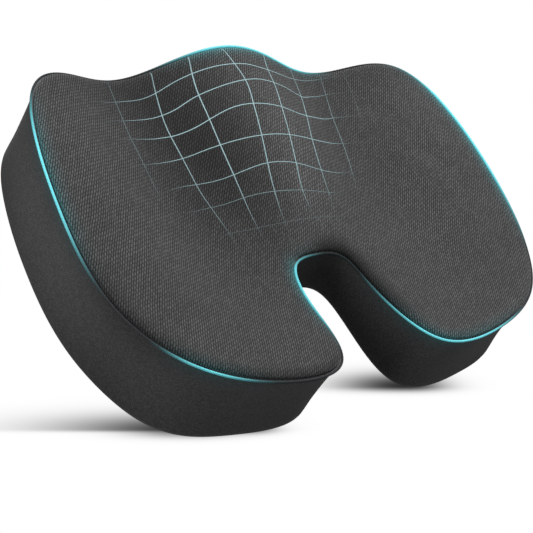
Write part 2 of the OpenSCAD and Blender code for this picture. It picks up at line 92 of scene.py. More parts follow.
def reach(y, l):
    return 1 / (1 + np.exp(-(-y - 190 + l) / (0.14 * l)))


def top_z(x, y):
    ax = np.sqrt(x * x + 400) - 1.9
    return (87.6 + 4.1 * np.clip((190 - y) / 380, 0, 1) + 4.2 * np.exp(-(x / 52.3) ** 2) * reach(y, 149.8)
            - 26.4 * np.exp(-((ax - 105.6) / 59.5) ** 2) * reach(y, 232)
            - 31.4 * np.exp(-(x / 188) ** 2 - ((y - 62) / 90) ** 2) + 1.7 * rear_corner(np.stack([x, y], -1)))


def rear_corner(s):
    return np.exp(-((np.abs(s[..., 0]) - 175) / 45) ** 2 - ((s[..., 1] - 130) / 45) ** 2)


def front_side(s):
    return np.exp(-((np.abs(s[..., 0]) - 210) / 40) ** 2 - ((s[..., 1] + 60) / 60) ** 2)


def seam_z(u):
    s = plan(u)
    return top_z(s[..., 0], s[..., 1]) - CROWN


def roll(u, a, d=0.0):
    """rolled edge: a = 0 at the seam, 90 where the top begins"""
    a = np.radians(a)
    p = plan(u) + inward(u) * np.asarray(d + (ROLL - d) * (1 - np.cos(a)))[..., None]
    return np.concatenate([p, (top_z(p[..., 0], p[..., 1]) - d - CROWN * (1 - np.sin(a)))[..., None]], -1)


def wall(u, z, d=0.0):
    s, zs = plan(u), seam_z(u)
    z = z + 0 * zs
    k = np.clip(1 - z / zs, 0, 1)
    lean = LEAN_MID + LEAN_REAR * s[..., 1] / 170 + FLARE_REAR * rear_corner(s) + FLARE_SIDE * front_side(s)
    p = s + inward(u) * (d + lean * k ** 1.5)[..., None]
    w = np.where(s[..., 1] < 0, smooth((184 - np.abs(p[..., 0])) / 40) * smooth(k / 0.34), 0)
    return np.stack([p[..., 0], p[..., 1] * (1 - w) + (FLAT_Y + d) * w, z], -1)


def foot(u, a, d=0.0):
    a = np.radians(a)
    return wall(u, DOT_H + FOOT_R - (FOOT_R - d) * np.cos(a), FOOT_R - (FOOT_R - d) * np.sin(a))


def rise(u, v, d=0.0, gap=0.2):
    z0 = DOT_H + FOOT_R
    return wall(u, z0 + (roll(u, 0 * u, d)[..., 2] - gap - z0) * v, d)


_u = np.linspace(0, L, 4401)
_arc = np.concatenate([[0], np.cumsum(np.linalg.norm(np.diff(plan(_u), axis=0), axis=1))])
ROUND = _arc[-1]


def arc(u):
    return np.interp(np.mod(u, L), _u, _arc) + ROUND * np.floor(np.asarray(u) / L)


def at_arc(s):
    s = np.asarray(s, float)
    return np.interp(np.mod(s, ROUND), _arc, _u) + L * np.floor(s / ROUND)


def find_u(x):
    g = np.linspace(-2, 2, 4001)
    return np.interp(x, plan(g)[:, 0], g)


U_ZIP = float(find_u(ZIP_HALF))

# how strongly the cyan piping and its painted glow show along the top seam, by u
CYAN = np.array([[0, .9], [.2, .85], [.4, .42], [.6, .05], [.8, 0], [2.35, .02], [2.6, .3], [2.8, .6], [3, .85],
                 [3.2, 1], [3.7, 1], [4, .9], [4.2, .7], [4.4, .42], [4.6, .2], [4.8, .05], [5, 0], [5.5, 0],
                 [5.65, .08], [5.8, .35], [6, .8], [6.2, .92], [6.4, .88], [6.6, .55], [6.8, .2], [7, .04], [7.2, 0],
                 [8.3, 0], [8.6, .15], [8.8, .42], [9, .65], [9.2, .8], [9.6, .9], [10, .8], [10.2, .65], [10.4, .52],
                 [10.6, .37], [10.8, .22], [11, .1], [11.2, .02], [12.35, .02], [12.6, .13], [12.8, .25], [13, .43],
                 [13.2, .6], [13.6, .93], [14, 1], [14.6, .95], [14.8, .85], [15, .62], [15.2, .4], [15.4, .16],
                 [15.6, .02], [16.6, 0], [16.8, .07], [17, .24], [17.2, .42], [17.4, .55], [17.6, .72], [17.8, .85],
                 [18, .92], [19.2, 1], [19.4, .7], [19.6, .5], [19.8, .3], [20, .1], [20.2, 0], [20.8, 0], [21, .3],
                 [21.2, .72], [21.4, .98], [21.8, .9], [22, .9]])


def cyan(u):
    return np.interp(np.mod(u, L), CYAN[:, 0], CYAN[:, 1])


# ---------------------------------------------------------------- mesh building
class Sheet:
    """Open surface made of grids, with a second layer for its other face, welded where grids meet."""

    def __init__(self):
        self.v, self.w, self.f, self.a, self.n = [], [], [], {}, 0

    def grid(self, v, w=None, **attrs):
        nc, nr = v.shape[:2]
        i, r = np.meshgrid(np.arange(nc - 1), np.arange(nr - 1), indexing="ij")
        a = (i * nr + r).ravel() + self.n
        self.f.append(np.stack([a, a + nr, a + nr + 1, a + 1], 1))
        self.v.append(v.reshape(-1, 3))
        self.w.append((v if w is None else w).reshape(-1, 3))
        for k, x in attrs.items():
            self.a.setdefault(k, []).append(np.asarray(x, float).reshape(nc * nr, -1))
        self.n += nc * nr
        return self

    def weld(self):
        v, w, f = np.concatenate(self.v), np.concatenate(self.w), np.concatenate(self.f)
        a = {k: np.concatenate(x) for k, x in self.a.items()}
        _, first, inv = np.unique(np.round(v, 3), axis=0, return_index=True, return_inverse=True)
        inv = inv.ravel()
        f = inv[f]
        v, w, a = v[first], w[first], {k: x[first] for k, x in a.items()}
        bad = (f == np.roll(f, 1, 1)).any(1) | (f[:, 0] == f[:, 2]) | (f[:, 1] == f[:, 3])
        faces = f[~bad].tolist()
        for q in f[bad].tolist():
            out = [q[k] for k in range(4) if q[k] != q[k - 1]]
            if len(out) == 3 and len(set(out)) == 3:
                faces.append(out)
        return v, w, faces, a

    def closed(self):
        """both layers and the strip along every open edge"""
        v, w, faces, a = self.weld()
        n = len(v)
        used = set()
        for q in faces:
            for k in range(len(q)):
                used.add((q[k - 1], q[k]))
        rim = [(p, q) for p, q in used if (q, p) not in used]
        every = faces + [[k + n for k in q[::-1]] for q in faces] + [[q, p, p + n, q + n] for p, q in sorted(rim)]
        return np.concatenate([v, w]), every, {k: np.concatenate([x, x]) for k, x in a.items()}


def volume(v, faces):
    tri = np.array([(q[0], q[k], q[k + 1]) for q in faces for k in range(1, len(q) - 1)])
    p = v[tri]
    return float(np.einsum("ij,ij->i", p[:, 0], np.cross(p[:, 1], p[:, 2])).sum() / 6)


def build(name, v, faces, attrs=None, body="cushion", replaces=(), mat=None, angle=50, subdiv=0):
    if volume(v, faces) < 0:
        faces = [q[::-1] for q in faces]
    me = bpy.data.meshes.new(name)
    me.from_pydata((v * MM).tolist(), [], faces)
    me.validate()
    attrs = dict(attrs or {})
    uv = attrs.pop("uv", None)
    if uv is None:
        uv = v[:, :2]
    layer = me.uv_layers.new(name="weave")
    idx = np.zeros(len(me.loops), np.int32)
    me.loops.foreach_get("vertex_index", idx)
    layer.data.foreach_set("uv", uv[idx].astype(np.float32).ravel())
    for k, x in attrs.items():
        at = me.attributes.new(k, "FLOAT", "POINT")
        at.data.foreach_set("value", x.astype(np.float32).ravel())
    me.polygons.foreach_set("use_smooth", [True] * len(me.polygons))
    if angle:
        me.set_sharp_from_angle(angle=math.radians(angle))
    ob = bpy.data.objects.new(name, me)
    scene.collection.objects.link(ob)
    if mat:
        me.materials.append(mat)
    if subdiv:
        s = ob.modifiers.new("sub", "SUBSURF")
        s.levels = s.render_levels = subdiv
    if replaces:
        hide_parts(*replaces)
    if body:
        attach(ob, body)
    return ob


def many(shapes):
    """joins [(vertices, faces), ...] into one"""
    v, f, o = [], [], 0
    for a, b in shapes:
        v.append(a)
        f += [[k + o for k in q] for q in b]
        o += len(a)
    return np.concatenate(v), f


def lathe(profile, n):
    """closed shape turned about Z; profile is [(radius, z), ...] with poles at both ends"""
    t = np.arange(n) * 2 * np.pi / n
    v = [[0, 0, profile[0][1]]]
    for r, z in profile[1:-1]:
        v += [[r * math.cos(a), r * math.sin(a), z] for a in t]
    v.append([0, 0, profile[-1][1]])
    m = len(profile) - 2
    f = [[0, 1 + (k + 1) % n, 1 + k] for k in range(n)]
    for i in range(m - 1):
        for k in range(n):
            a, b = 1 + i * n + k, 1 + i * n + (k + 1) % n
            f.append([a, b, b + n, a + n])
    e, o = len(v) - 1, 1 + (m - 1) * n
    f += [[e, o + k, o + (k + 1) % n] for k in range(n)]
    return np.array(v, float), f


def tube(path, radii, n, closed=False, flat=None):
    """tube along a path; radii may be one number or one per point; flat is not used"""
    path = np.asarray(path, float)
    m = len(path)
    d = np.roll(path, -1, 0) - np.roll(path, 1, 0) if closed else np.gradient(path, axis=0)
    d /= np.linalg.norm(d, axis=1, keepdims=True)
    ref = np.tile([0.0, 0, 1], (m, 1))
    ref[np.abs(d[:, 2]) > 0.9] = [0, 1, 0]
    s = np.cross(d, ref)
    s /= np.linalg.norm(s, axis=1, keepdims=True)
    t = np.cross(s, d)
    radii = np.broadcast_to(np.asarray(radii, float), (m,))
    a = np.arange(n) * 2 * np.pi / n
    v = (path[:, None] + radii[:, None, None] * (np.cos(a)[None, :, None] * s[:, None] + np.sin(a)[None, :, None] * t[:, None]))
    v = v.reshape(-1, 3)
    f = []
    for i in range(m if closed else m - 1):
        for k in range(n):
            p, q = i * n + k, i * n + (k + 1) % n
            p2, q2 = ((i + 1) % m) * n + k, ((i + 1) % m) * n + (k + 1) % n
            f.append([p, q, q2, p2])
    if not closed:
        f += [list(range(n))[::-1], [(m - 1) * n + k for k in range(n)]]
    return v, f


def stitch(a, b, r=0.3, lift=(0, -1, 0), sag=0.35):
    """one thread stitch from a to b, both ends diving into the cloth"""
    a, b, lift = np.array(a, float), np.array(b, float), np.array(lift, float)
    t = np.linspace(0, 1, 7)
    bow = sag * (np.sin(np.pi * t) ** 0.5) - sag * 1.1
    p = a + (b - a) * t[:, None] + lift * bow[:, None]
    return tube(p, r * np.array([.7, .95, 1, 1, 1, .95, .7]), 8)


# ---------------------------------------------------------------- material building
class Mat:
    def __init__(self, name):
        self.m = bpy.data.materials.new(name)
        self.m.use_nodes = True
        self.t = self.m.node_tree
        self.t.nodes.clear()
        self.out = self.t.nodes.new("ShaderNodeOutputMaterial")
        self.p = self.t.nodes.new("ShaderNodeBsdfPrincipled")
        self.t.links.new(self.p.outputs[0], self.out.inputs[0])

    def put(self, socket, value):
        if isinstance(value, bpy.types.NodeSocket):
            self.t.links.new(value, socket)
        elif value is not None:
            if hasattr(socket, "default_value"):
                if isinstance(value, (tuple, list)) and len(value) == 3 and socket.type == "RGBA":
                    value = (*value, 1)
                socket.default_value = value

    def node(self, kind, ins=None, **props):
        n = self.t.nodes.new(kind)
        for k, x in props.items():
            setattr(n, k, x)
        for k, x in (ins or {}).items():
            self.put(n.inputs[k], x)
        return n

    def math(self, op, a, b=None, c=None, clamp=False):
        n = self.node("ShaderNodeMath", operation=op, use_clamp=clamp)
        for k, x in enumerate((a, b, c)):
            self.put(n.inputs[k], x)
        return n.outputs[0]

    def mix(self, fac, a, b, mode="MIX"):
        n = self.node("ShaderNodeMix", data_type="RGBA", blend_type=mode)
        self.put(n.inputs[0], fac)
        self.put(n.inputs[6], a)
        self.put(n.inputs[7], b)
        return n.outputs[2]

    def scale(self, colour, f):
        """colour times a number"""
        n = self.node("ShaderNodeVectorMath", operation="SCALE")
        self.put(n.inputs[0], colour if isinstance(colour, bpy.types.NodeSocket) else tuple(colour))
        self.put(n.inputs["Scale"], f)
        return n.outputs[0]

    def uv(self):
        u = self.node("ShaderNodeUVMap", uv_map="weave").outputs[0]
        s = self.node("ShaderNodeSeparateXYZ", {0: u})
        return u, s.outputs[0], s.outputs[1]

    def attr(self, name):
        return self.node("ShaderNodeAttribute", attribute_name=name).outputs["Fac"]

    def mm(self):
        c = self.node("ShaderNodeTexCoord").outputs["Object"]
        n = self.node("ShaderNodeVectorMath", {0: c}, operation="SCALE")
        n.inputs["Scale"].default_value = 1000
        return n.outputs[0]

    def vec(self, x, y, z=0.0):
        return self.node("ShaderNodeCombineXYZ", {0: x, 1: y, 2: z}).outputs[0]

    def noise(self, vector, scale, detail=2.0, rough=0.5, out=0):
        return self.node("ShaderNodeTexNoise", {"Vector": vector, "Scale": scale, "Detail": detail, "Roughness": rough}).outputs[out]

    def white(self, vector):
        return self.node("ShaderNodeTexWhiteNoise", {"Vector": vector}, noise_dimensions="3D").outputs[0]

    def ramp(self, fac, lo, hi, a=0.0, b=1.0):
        n = self.node("ShaderNodeMapRange", {"Value": fac, "From Min": lo, "From Max": hi, "To Min": a, "To Max": b})
        n.interpolation_type = "SMOOTHSTEP"
        return n.outputs[0]

    def bump(self, height, distance, strength=1.0, normal=None):
        n = self.node("ShaderNodeBump", {"Strength": strength, "Distance": distance * MM, "Height": height})
        if normal is not None:
            self.put(n.inputs["Normal"], normal)
        return n.outputs[0]

    def set(self, **k):
        names = {"color": "Base Color", "rough": "Roughness", "metal": "Metallic", "normal": "Normal", "sheen": "Sheen Weight",
                 "sheen_rough": "Sheen Roughness", "sheen_tint": "Sheen Tint", "spec": "Specular IOR Level",
                 "emit": "Emission Color", "emit_power": "Emission Strength", "coat": "Coat Weight", "coat_rough": "Coat Roughness",
                 "aniso": "Anisotropic"}
        for a, x in k.items():
            self.put(self.p.inputs[names[a]], x)
        return self.m


def grain_wave(m, x, pitch):
    """0..1 wave of x with the given pitch"""
    c = m.math("COSINE", m.math("MULTIPLY", x, 2 * math.pi / pitch))
    return m.math("MULTIPLY_ADD", c, 0.5, 0.5)


def knit_top():
    """dark grey melange knit: short lighter dashes in columns, broken at random"""
    m = Mat("top_knit")
    uvv, s, t = m.uv()
    wob = m.noise(uvv, 0.055, 2.0, 0.5)
    s2 = m.math("ADD", s, m.math("MULTIPLY", wob, 1.6))
    p1, p2 = 1.85, 4.3
    col = m.math("FLOOR", m.math("DIVIDE", s2, p1))
    fs = m.math("FRACT", m.math("DIVIDE", s2, p1))
    shift = m.math("MULTIPLY_ADD", m.white(m.vec(col, 3.7, 1.3)), 0.22, m.math("MULTIPLY", col, 0.5))
    row_f = m.math("ADD", m.math("DIVIDE", t, p2), shift)
    row = m.math("FLOOR", row_f)
    ft = m.math("FRACT", row_f)
    rnd = m.white(m.vec(col, row, 0.5))
    across = m.math("SINE", m.math("MULTIPLY", fs, math.pi))
    along = m.math("POWER", m.math("SINE", m.math("MULTIPLY", ft, math.pi), clamp=True), 0.42)
    h = m.math("MULTIPLY", m.math("POWER", across, 1.3), along)
    fibre = m.noise(m.vec(m.math("MULTIPLY", s, 1.0), m.math("MULTIPLY", t, 0.35)), 1.9, 3.0, 0.6)
    lum = m.math("MULTIPLY_ADD", h, m.math("MULTIPLY_ADD", rnd, 0.55, 1.55), 0.06)
    lum = m.math("MULTIPLY", lum, m.math("MULTIPLY_ADD", fibre, 0.6, 0.70))
    cloud = m.noise(uvv, 0.018, 3.0, 0.55)
    lum = m.math("MULTIPLY", lum, m.math("MULTIPLY_ADD", cloud, 0.16, 0.92))
    # painted light and shade over the top fabric
    lum = m.math("MULTIPLY", lum, m.attr("tone"))
    edge = m.attr("edge")
    lum = m.math("MULTIPLY", lum, m.math("MULTIPLY_ADD", edge, TOP_EDGE, 1.0))
    base = m.mix(m.math("MULTIPLY", rnd, 0.35), TOP_A, TOP_B)
    base = m.scale(base, lum)
    # painted cyan glow from the seam, spread over the fabric beside it
    glow = m.attr("cyan")
    base = m.mix(m.math("MULTIPLY", glow, 0.8, clamp=True), base, m.scale((0.025, 0.21, 0.225), lum))
    b = m.bump(h, 0.28, 0.75)
    b = m.bump(fibre, 0.12, 0.5, b)
    return m.set(color=base, rough=0.92, normal=b, sheen=0.12, sheen_rough=0.45, spec=0.18)


def weave_side():
    """darker fine plain weave with a soft speckle"""
    m = Mat("side_weave")
    uvv, s, t = m.uv()
    wob = m.noise(uvv, 0.07, 2.0)
    s2 = m.math("ADD", s, m.math("MULTIPLY", wob, 1.2))
    t2 = m.math("ADD", t, m.math("MULTIPLY", wob, 1.0))
    p = 1.25
    col, row = m.math("FLOOR", m.math("DIVIDE", s2, p)), m.math("FLOOR", m.math("DIVIDE", t2, p))
    over = m.math("FRACT", m.math("MULTIPLY", m.math("ADD", col, row), 0.5))
    over = m.math("GREATER_THAN", over, 0.25)
    ws, wt = grain_wave(m, m.math("ADD", s2, p / 2), p), grain_wave(m, m.math("ADD", t2, p / 2), p)
    h = m.math("MULTIPLY", ws, wt)
    h = m.math("MULTIPLY", h, m.math("MULTIPLY_ADD", over, 0.45, 0.55))
    rnd = m.white(m.vec(col, row, 2.5))
    fine = m.noise(uvv, 1.5, 3.0, 0.65)
    speck = m.noise(uvv, 0.42, 3.0, 0.7)
    lum = m.math("MULTIPLY_ADD", h, m.math("MULTIPLY_ADD", rnd, 0.7, 0.3), 0.62)
    lum = m.math("MULTIPLY", lum, m.math("MULTIPLY_ADD", fine, 0.6, 0.70))
    lum = m.math("MULTIPLY", lum, m.math("MULTIPLY_ADD", speck, 0.5, 0.75))
    lum = m.math("MULTIPLY", lum, m.math("MULTIPLY_ADD", m.noise(uvv, 0.012, 2.0), 0.3, 0.85))
    # painted shade over the sides
    lum = m.math("MULTIPLY", lum, m.attr("tone"))
    base = m.scale(m.mix(rnd, SIDE_A, SIDE_B), lum)
    # painted cyan glow from the seam, spread over the fabric beside it
    glow = m.attr("cyan")
    base = m.mix(m.math("MULTIPLY", glow, 0.75, clamp=True), base, m.scale((0.015, 0.13, 0.14), lum))
    b = m.bump(h, 0.16, 0.7)
    b = m.bump(fine, 0.08, 0.5, b)
    return m.set(color=base, rough=0.9, normal=b, sheen=0.10, sheen_rough=0.4, spec=0.2)


def weave_twill(name, ca, cb, pitch=1.5, bump=0.2, rough=0.85, sheen=0.1):
    """diagonal twill"""
    m = Mat(name)
    uvv, s, t = m.uv()
    d = grain_wave(m, m.math("ADD", s, t), pitch * 1.41)
    e = grain_wave(m, m.math("SUBTRACT", s, t), pitch * 0.9)
    h = m.math("MULTIPLY", m.math("POWER", d, 0.7), m.math("MULTIPLY_ADD", e, 0.35, 0.65))
    rnd = m.noise(uvv, 0.9, 3.0, 0.7)
    wear = m.noise(uvv, 0.03, 3.0, 0.6)
    lum = m.math("MULTIPLY", m.math("MULTIPLY_ADD", h, 0.8, 0.5), m.math("MULTIPLY_ADD", rnd, 0.8, 0.6))
    lum = m.math("MULTIPLY", lum, m.math("MULTIPLY_ADD", wear, 0.5, 0.75))
    base = m.scale(m.mix(rnd, ca, cb), lum)
    return m.set(color=base, rough=rough, normal=m.bump(rnd, 0.05, 0.4, m.bump(h, bump, 0.8)), sheen=sheen, sheen_rough=0.4, spec=0.25)


def cord_material():
    """twisted cord, cyan where the seam is lit up and dark elsewhere; the cyan carries a painted glow (emission), and
    the dark cord is painted darker inside the notch as shade
    """
    m = Mat("piping_cord")
    uvv, s, t = m.uv()
    ply = grain_wave(m, m.math("ADD", s, m.math("MULTIPLY", t, 2.2)), 2.2)
    fibre = m.noise(uvv, 2.4, 3.0, 0.65)
    tint = m.attr("cyan")
    core = m.mix(fibre, (0.10, 0.52, 0.58), (0.19, 0.70, 0.76))
    # painted shade: the dark cord is darker inside the notch
    dark = m.scale(m.mix(fibre, (0.018, 0.019, 0.020), (0.028, 0.029, 0.031)), m.math("MULTIPLY_ADD", m.attr("dim"), -0.55, 1.0))
    lum = m.math("MULTIPLY_ADD", ply, 0.25, 0.78)
    base = m.scale(m.mix(m.math("POWER", tint, 1.15), dark, core), lum)
    # painted glow: the cyan cord emits light
    glow = m.math("MULTIPLY", m.math("POWER", tint, 1.6), CORD_GLOW)
    return m.set(color=base, rough=0.8, normal=m.bump(ply, 0.15, 0.6), sheen=0.04, spec=0.12,
                 emit=m.mix(fibre, (0.10, 0.75, 0.88), (0.20, 0.90, 1.0)), emit_power=glow)


def line_material():
    """pale teal printed line, thinner and duller towards its ends"""
    m = Mat("printed_line")
    uvv, s, t = m.uv()
    fade = m.attr("fade")
    n = m.noise(uvv, 1.3, 3.0, 0.7)
    broken = m.math("MULTIPLY", fade, m.math("MULTIPLY_ADD", n, 0.9, 0.5), clamp=True)
    base = m.mix(broken, (0.045, 0.050, 0.052), (0.26, 0.39, 0.41))
    return m.set(color=base, rough=0.7, normal=m.bump(n, 0.05, 0.5), spec=0.25, sheen=0.05)


def webbing_material():
    """ribbed webbing in a chevron"""
    m = Mat("webbing")
    uvv, s, t = m.uv()
    zig = m.math("ABSOLUTE", m.math("SUBTRACT", m.math("FRACT", m.math("DIVIDE", t, 6.0)), 0.5))
    d = grain_wave(m, m.math("ADD", s, m.math("MULTIPLY", zig, 8.0)), 1.3)
    rib = grain_wave(m, t, 1.5)
    h = m.math("MULTIPLY", m.math("POWER", d, 0.7), m.math("MULTIPLY_ADD", rib, 0.5, 0.5))
    n = m.noise(uvv, 1.6, 3.0, 0.7)
    lum = m.math("MULTIPLY", m.math("MULTIPLY_ADD", h, 0.9, 0.45), m.math("MULTIPLY_ADD", n, 0.8, 0.6))
    base = m.scale((0.024, 0.025, 0.028), lum)
    return m.set(color=base, rough=0.62, normal=m.bump(n, 0.05, 0.4, m.bump(h, 0.25, 0.9)), sheen=0.15, sheen_rough=0.35, spec=0.35)


def tape_material():
    m = Mat("zip_tape_weave")
    uvv, s, t = m.uv()
    zig = m.math("ABSOLUTE", m.math("SUBTRACT", m.math("FRACT", m.math("DIVIDE", s, 2.4)), 0.5))
    d = grain_wave(m, m.math("ADD", t, m.math("MULTIPLY", zig, 2.4)), 0.8)
    n = m.noise(uvv, 2.0, 3.0, 0.7)
    lum = m.math("MULTIPLY", m.math("MULTIPLY_ADD", d, 0.7, 0.5), m.math("MULTIPLY_ADD", n, 0.7, 0.65))
    return m.set(color=m.scale((0.016, 0.0165, 0.018), lum), rough=0.72, normal=m.bump(d, 0.12, 0.8), sheen=0.1, spec=0.3)


def nylon_material():
    m = Mat("nylon")
    c = m.mm()
    n = m.noise(c, 0.8, 3.0, 0.6)
    fine = m.noise(c, 6.0, 2.0, 0.5)
    base = m.mix(n, (0.010, 0.010, 0.011), (0.022, 0.022, 0.024))
    return m.set(color=base, rough=m.math("MULTIPLY_ADD", n, 0.25, 0.28), normal=m.bump(fine, 0.02, 0.5), spec=0.5)


def metal_material():
    """gunmetal with a brushed grain, dull spots and brighter rubbed patches"""
    m = Mat("gunmetal")
    c = m.mm()
    sep = m.node("ShaderNodeSeparateXYZ", {0: c})
    streak = m.noise(m.vec(m.math("MULTIPLY", sep.outputs[0], 0.25), m.math("MULTIPLY", sep.outputs[1], 3.0), m.math("MULTIPLY", sep.outputs[2], 6.0)), 1.0, 3.0, 0.6)
    rub = m.ramp(m.noise(c, 0.35, 4.0, 0.7), 0.52, 0.68)
    base = m.mix(rub, (0.15, 0.155, 0.165), (0.42, 0.425, 0.43))
    base = m.mix(m.math("MULTIPLY", streak, 0.35), base, (0.06, 0.062, 0.066))
    return m.set(color=base, metal=1.0, rough=m.math("MULTIPLY_ADD", streak, 0.28, 0.24), normal=m.bump(streak, 0.03, 0.35), spec=0.5)


def rubber_material():
    m = Mat("silicone")
    c = m.mm()
    n = m.noise(c, 0.25, 3.0, 0.6)
    fine = m.noise(c, 3.0, 3.0, 0.6)
    dust = m.ramp(m.noise(c, 0.11, 4.0, 0.7), 0.5, 0.75, 0.0, 0.25)
    base = m.mix(dust, m.mix(n, (0.009, 0.009, 0.010), (0.018, 0.018, 0.019)), (0.09, 0.088, 0.083))
    return m.set(color=base, rough=m.math("MULTIPLY_ADD", fine, 0.3, 0.38), normal=m.bump(fine, 0.04, 0.5), spec=0.45)


def label_material():
    m = Mat("label_satin")
    uvv, s, t = m.uv()
    rib = grain_wave(m, t, 0.5)
    n = m.noise(uvv, 1.2, 3.0, 0.6)
    soft = m.noise(uvv, 0.06, 2.0)
    base = m.mix(soft, (0.80, 0.79, 0.76), (0.70, 0.69, 0.66))
    base = m.mix(m.math("MULTIPLY", rib, 0.18), base, (0.55, 0.54, 0.51))
    return m.set(color=base, rough=m.math("MULTIPLY_ADD", n, 0.2, 0.4), normal=m.bump(rib, 0.04, 0.6), sheen=0.2, spec=0.4)


def foam_material():
    m = Mat("open_cell_foam")
    c = m.mm()
    v = m.node("ShaderNodeTexVoronoi", {"Vector": c, "Scale": 0.9}).outputs[0]
    n = m.noise(c, 0.05, 3.0)
    base = m.mix(n, (0.86, 0.82, 0.68), (0.74, 0.68, 0.52))
    # painted shade in the pores: darker towards each cell's centre
    base = m.mix(m.ramp(v, 0.1, 0.6, 0.35, 0.0), base, (0.42, 0.37, 0.26))
    return m.set(color=base, rough=0.95, normal=m.bump(v, 0.4, 0.7), spec=0.15)


def liner_material():
    m = Mat("liner_jersey")
    uvv, s, t = m.uv()
    h = m.math("MULTIPLY", grain_wave(m, s, 1.0), m.math("MULTIPLY_ADD", grain_wave(m, t, 0.8), 0.5, 0.5))
    n = m.noise(uvv, 0.05, 3.0)
    base = m.mix(n, (0.80, 0.80, 0.78), (0.68, 0.68, 0.66))
    base = m.mix(m.math("MULTIPLY", h, 0.25), base, (0.9, 0.9, 0.88))
    return m.set(color=base, rough=0.88, normal=m.bump(h, 0.1, 0.7), sheen=0.2, spec=0.2)


def thread_material(name, a, b):
    m = Mat(name)
    c = m.mm()
    sep = m.node("ShaderNodeSeparateXYZ", {0: c})
    diag = m.math("ADD", m.math("ADD", sep.outputs[0], sep.outputs[1]), m.math("MULTIPLY", sep.outputs[2], 1.7))
    ply = grain_wave(m, diag, 0.55)
    n = m.noise(c, 2.5, 3.0, 0.6)
    return m.set(color=m.scale(m.mix(n, a, b), m.math("MULTIPLY_ADD", ply, 0.5, 0.6)), rough=0.6, normal=m.bump(ply, 0.08, 0.8), sheen=0.15, spec=0.35)


TOP_A, TOP_B, TOP_EDGE = (0.040, 0.040, 0.0403), (0.055, 0.0546, 0.0546), 0.0
SIDE_A, SIDE_B = (0.050, 0.050, 0.051), (0.066, 0.0655, 0.066)
CORD_GLOW = 0.10
MAT_TOP, MAT_SIDE = knit_top(), weave_side()
MAT_BASE = weave_twill("base_twill", (0.020, 0.021, 0.023), (0.040, 0.041, 0.044))
MAT_CORD, MAT_LINE, MAT_WEB, MAT_TAPE = cord_material(), line_material(), webbing_material(), tape_material()
MAT_NYLON, MAT_METAL, MAT_RUBBER = nylon_material(), metal_material(), rubber_material()
MAT_LABEL, MAT_FOAM, MAT_LINER = label_material(), foam_material(), liner_material()
MAT_THREAD = thread_material("thread", (0.05, 0.051, 0.054), (0.10, 0.10, 0.105))
MAT_THREAD_LIGHT = thread_material("thread_light", (0.45, 0.45, 0.44), (0.62, 0.62, 0.60))


# ---------------------------------------------------------------- cloth simulation on the padded body
def simulate():
    """Inflates the padded body as cloth held along its seams. Returns start points and normal swell in mm."""
    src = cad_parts["foam_core"]
    ob = bpy.data.objects.new("pad_sim", src.data.copy())
    scene.collection.objects.link(ob)
    mod = ob.modifiers.new("remesh", "REMESH")
    mod.mode, mod.voxel_size = "VOXEL", 0.0055
    dg = bpy.context.evaluated_depsgraph_get()
    me = bpy.data.meshes.new_from_object(ob.evaluated_get(dg))
    ob.modifiers.clear()
    ob.data = me
    n = len(me.vertices)
    start = np.zeros(n * 3, np.float32)
    me.vertices.foreach_get("co", start)
    start = start.reshape(-1, 3).astype(float) * 1000
    nor = np.zeros(n * 3, np.float32)
    me.vertex_normals.foreach_get("vector", nor)
    nor = nor.reshape(-1, 3).astype(float)
    us = at_arc(np.arange(0, ROUND, 2.0))
    line = roll(us, 0 * us, 6.0)
    kd = KDTree(len(line))
    for i, p in enumerate(line):
        kd.insert(p, i)
    kd.balance()
    held = [i for i in range(n) if start[i, 2] < 9.5 or kd.find(start[i])[2] < 5.0
            or (start[i, 1] < -138 and abs(start[i, 0]) < 150 and abs(start[i, 2] - ZIP_Z) < 9)]
    group = ob.vertex_groups.new(name="held")
    group.add(held, 1.0, "REPLACE")
    cl = ob.modifiers.new("cloth", "CLOTH")
    s = cl.settings
    s.quality = 5
    s.mass = 0.25
    s.tension_stiffness = s.compression_stiffness = 25
    s.shear_stiffness = 12
    s.bending_stiffness = 1.5
    s.use_pressure = True
    s.uniform_pressure_force = 4
    s.effector_weights.gravity = 0
    s.vertex_group_mass = "held"
    cl.collision_settings.use_collision = False
    cl.collision_settings.use_self_collision = False
    cl.point_cache.frame_start, cl.point_cache.frame_end = 1, 20
    for f in range(1, 21):
        scene.frame_set(f)
    got = ob.evaluated_get(bpy.context.evaluated_depsgraph_get())
    end = np.zeros(n * 3, np.float32)
    got.data.vertices.foreach_get("co", end)
    end = end.reshape(-1, 3).astype(float) * 1000
    scene.frame_set(1)
    bpy.data.objects.remove(ob)
    swell = np.einsum("ij,ij->i", end - start, nor)
    print("SIM points", n, "held", len(held), "swell mm", swell.min(), swell.mean(), swell.max())
    cap = 6.0
    return start, np.clip(swell, -cap, cap)


SWELL_MAX = 1.5
sim_p, sim_d = simulate()
top_of = max(float(np.percentile(sim_d, 95)), 1e-6)
sim_d = sim_d / top_of
sim = KDTree(len(sim_p))
for i, p in enumerate(sim_p):
    sim.insert(p, i)
sim.balance()


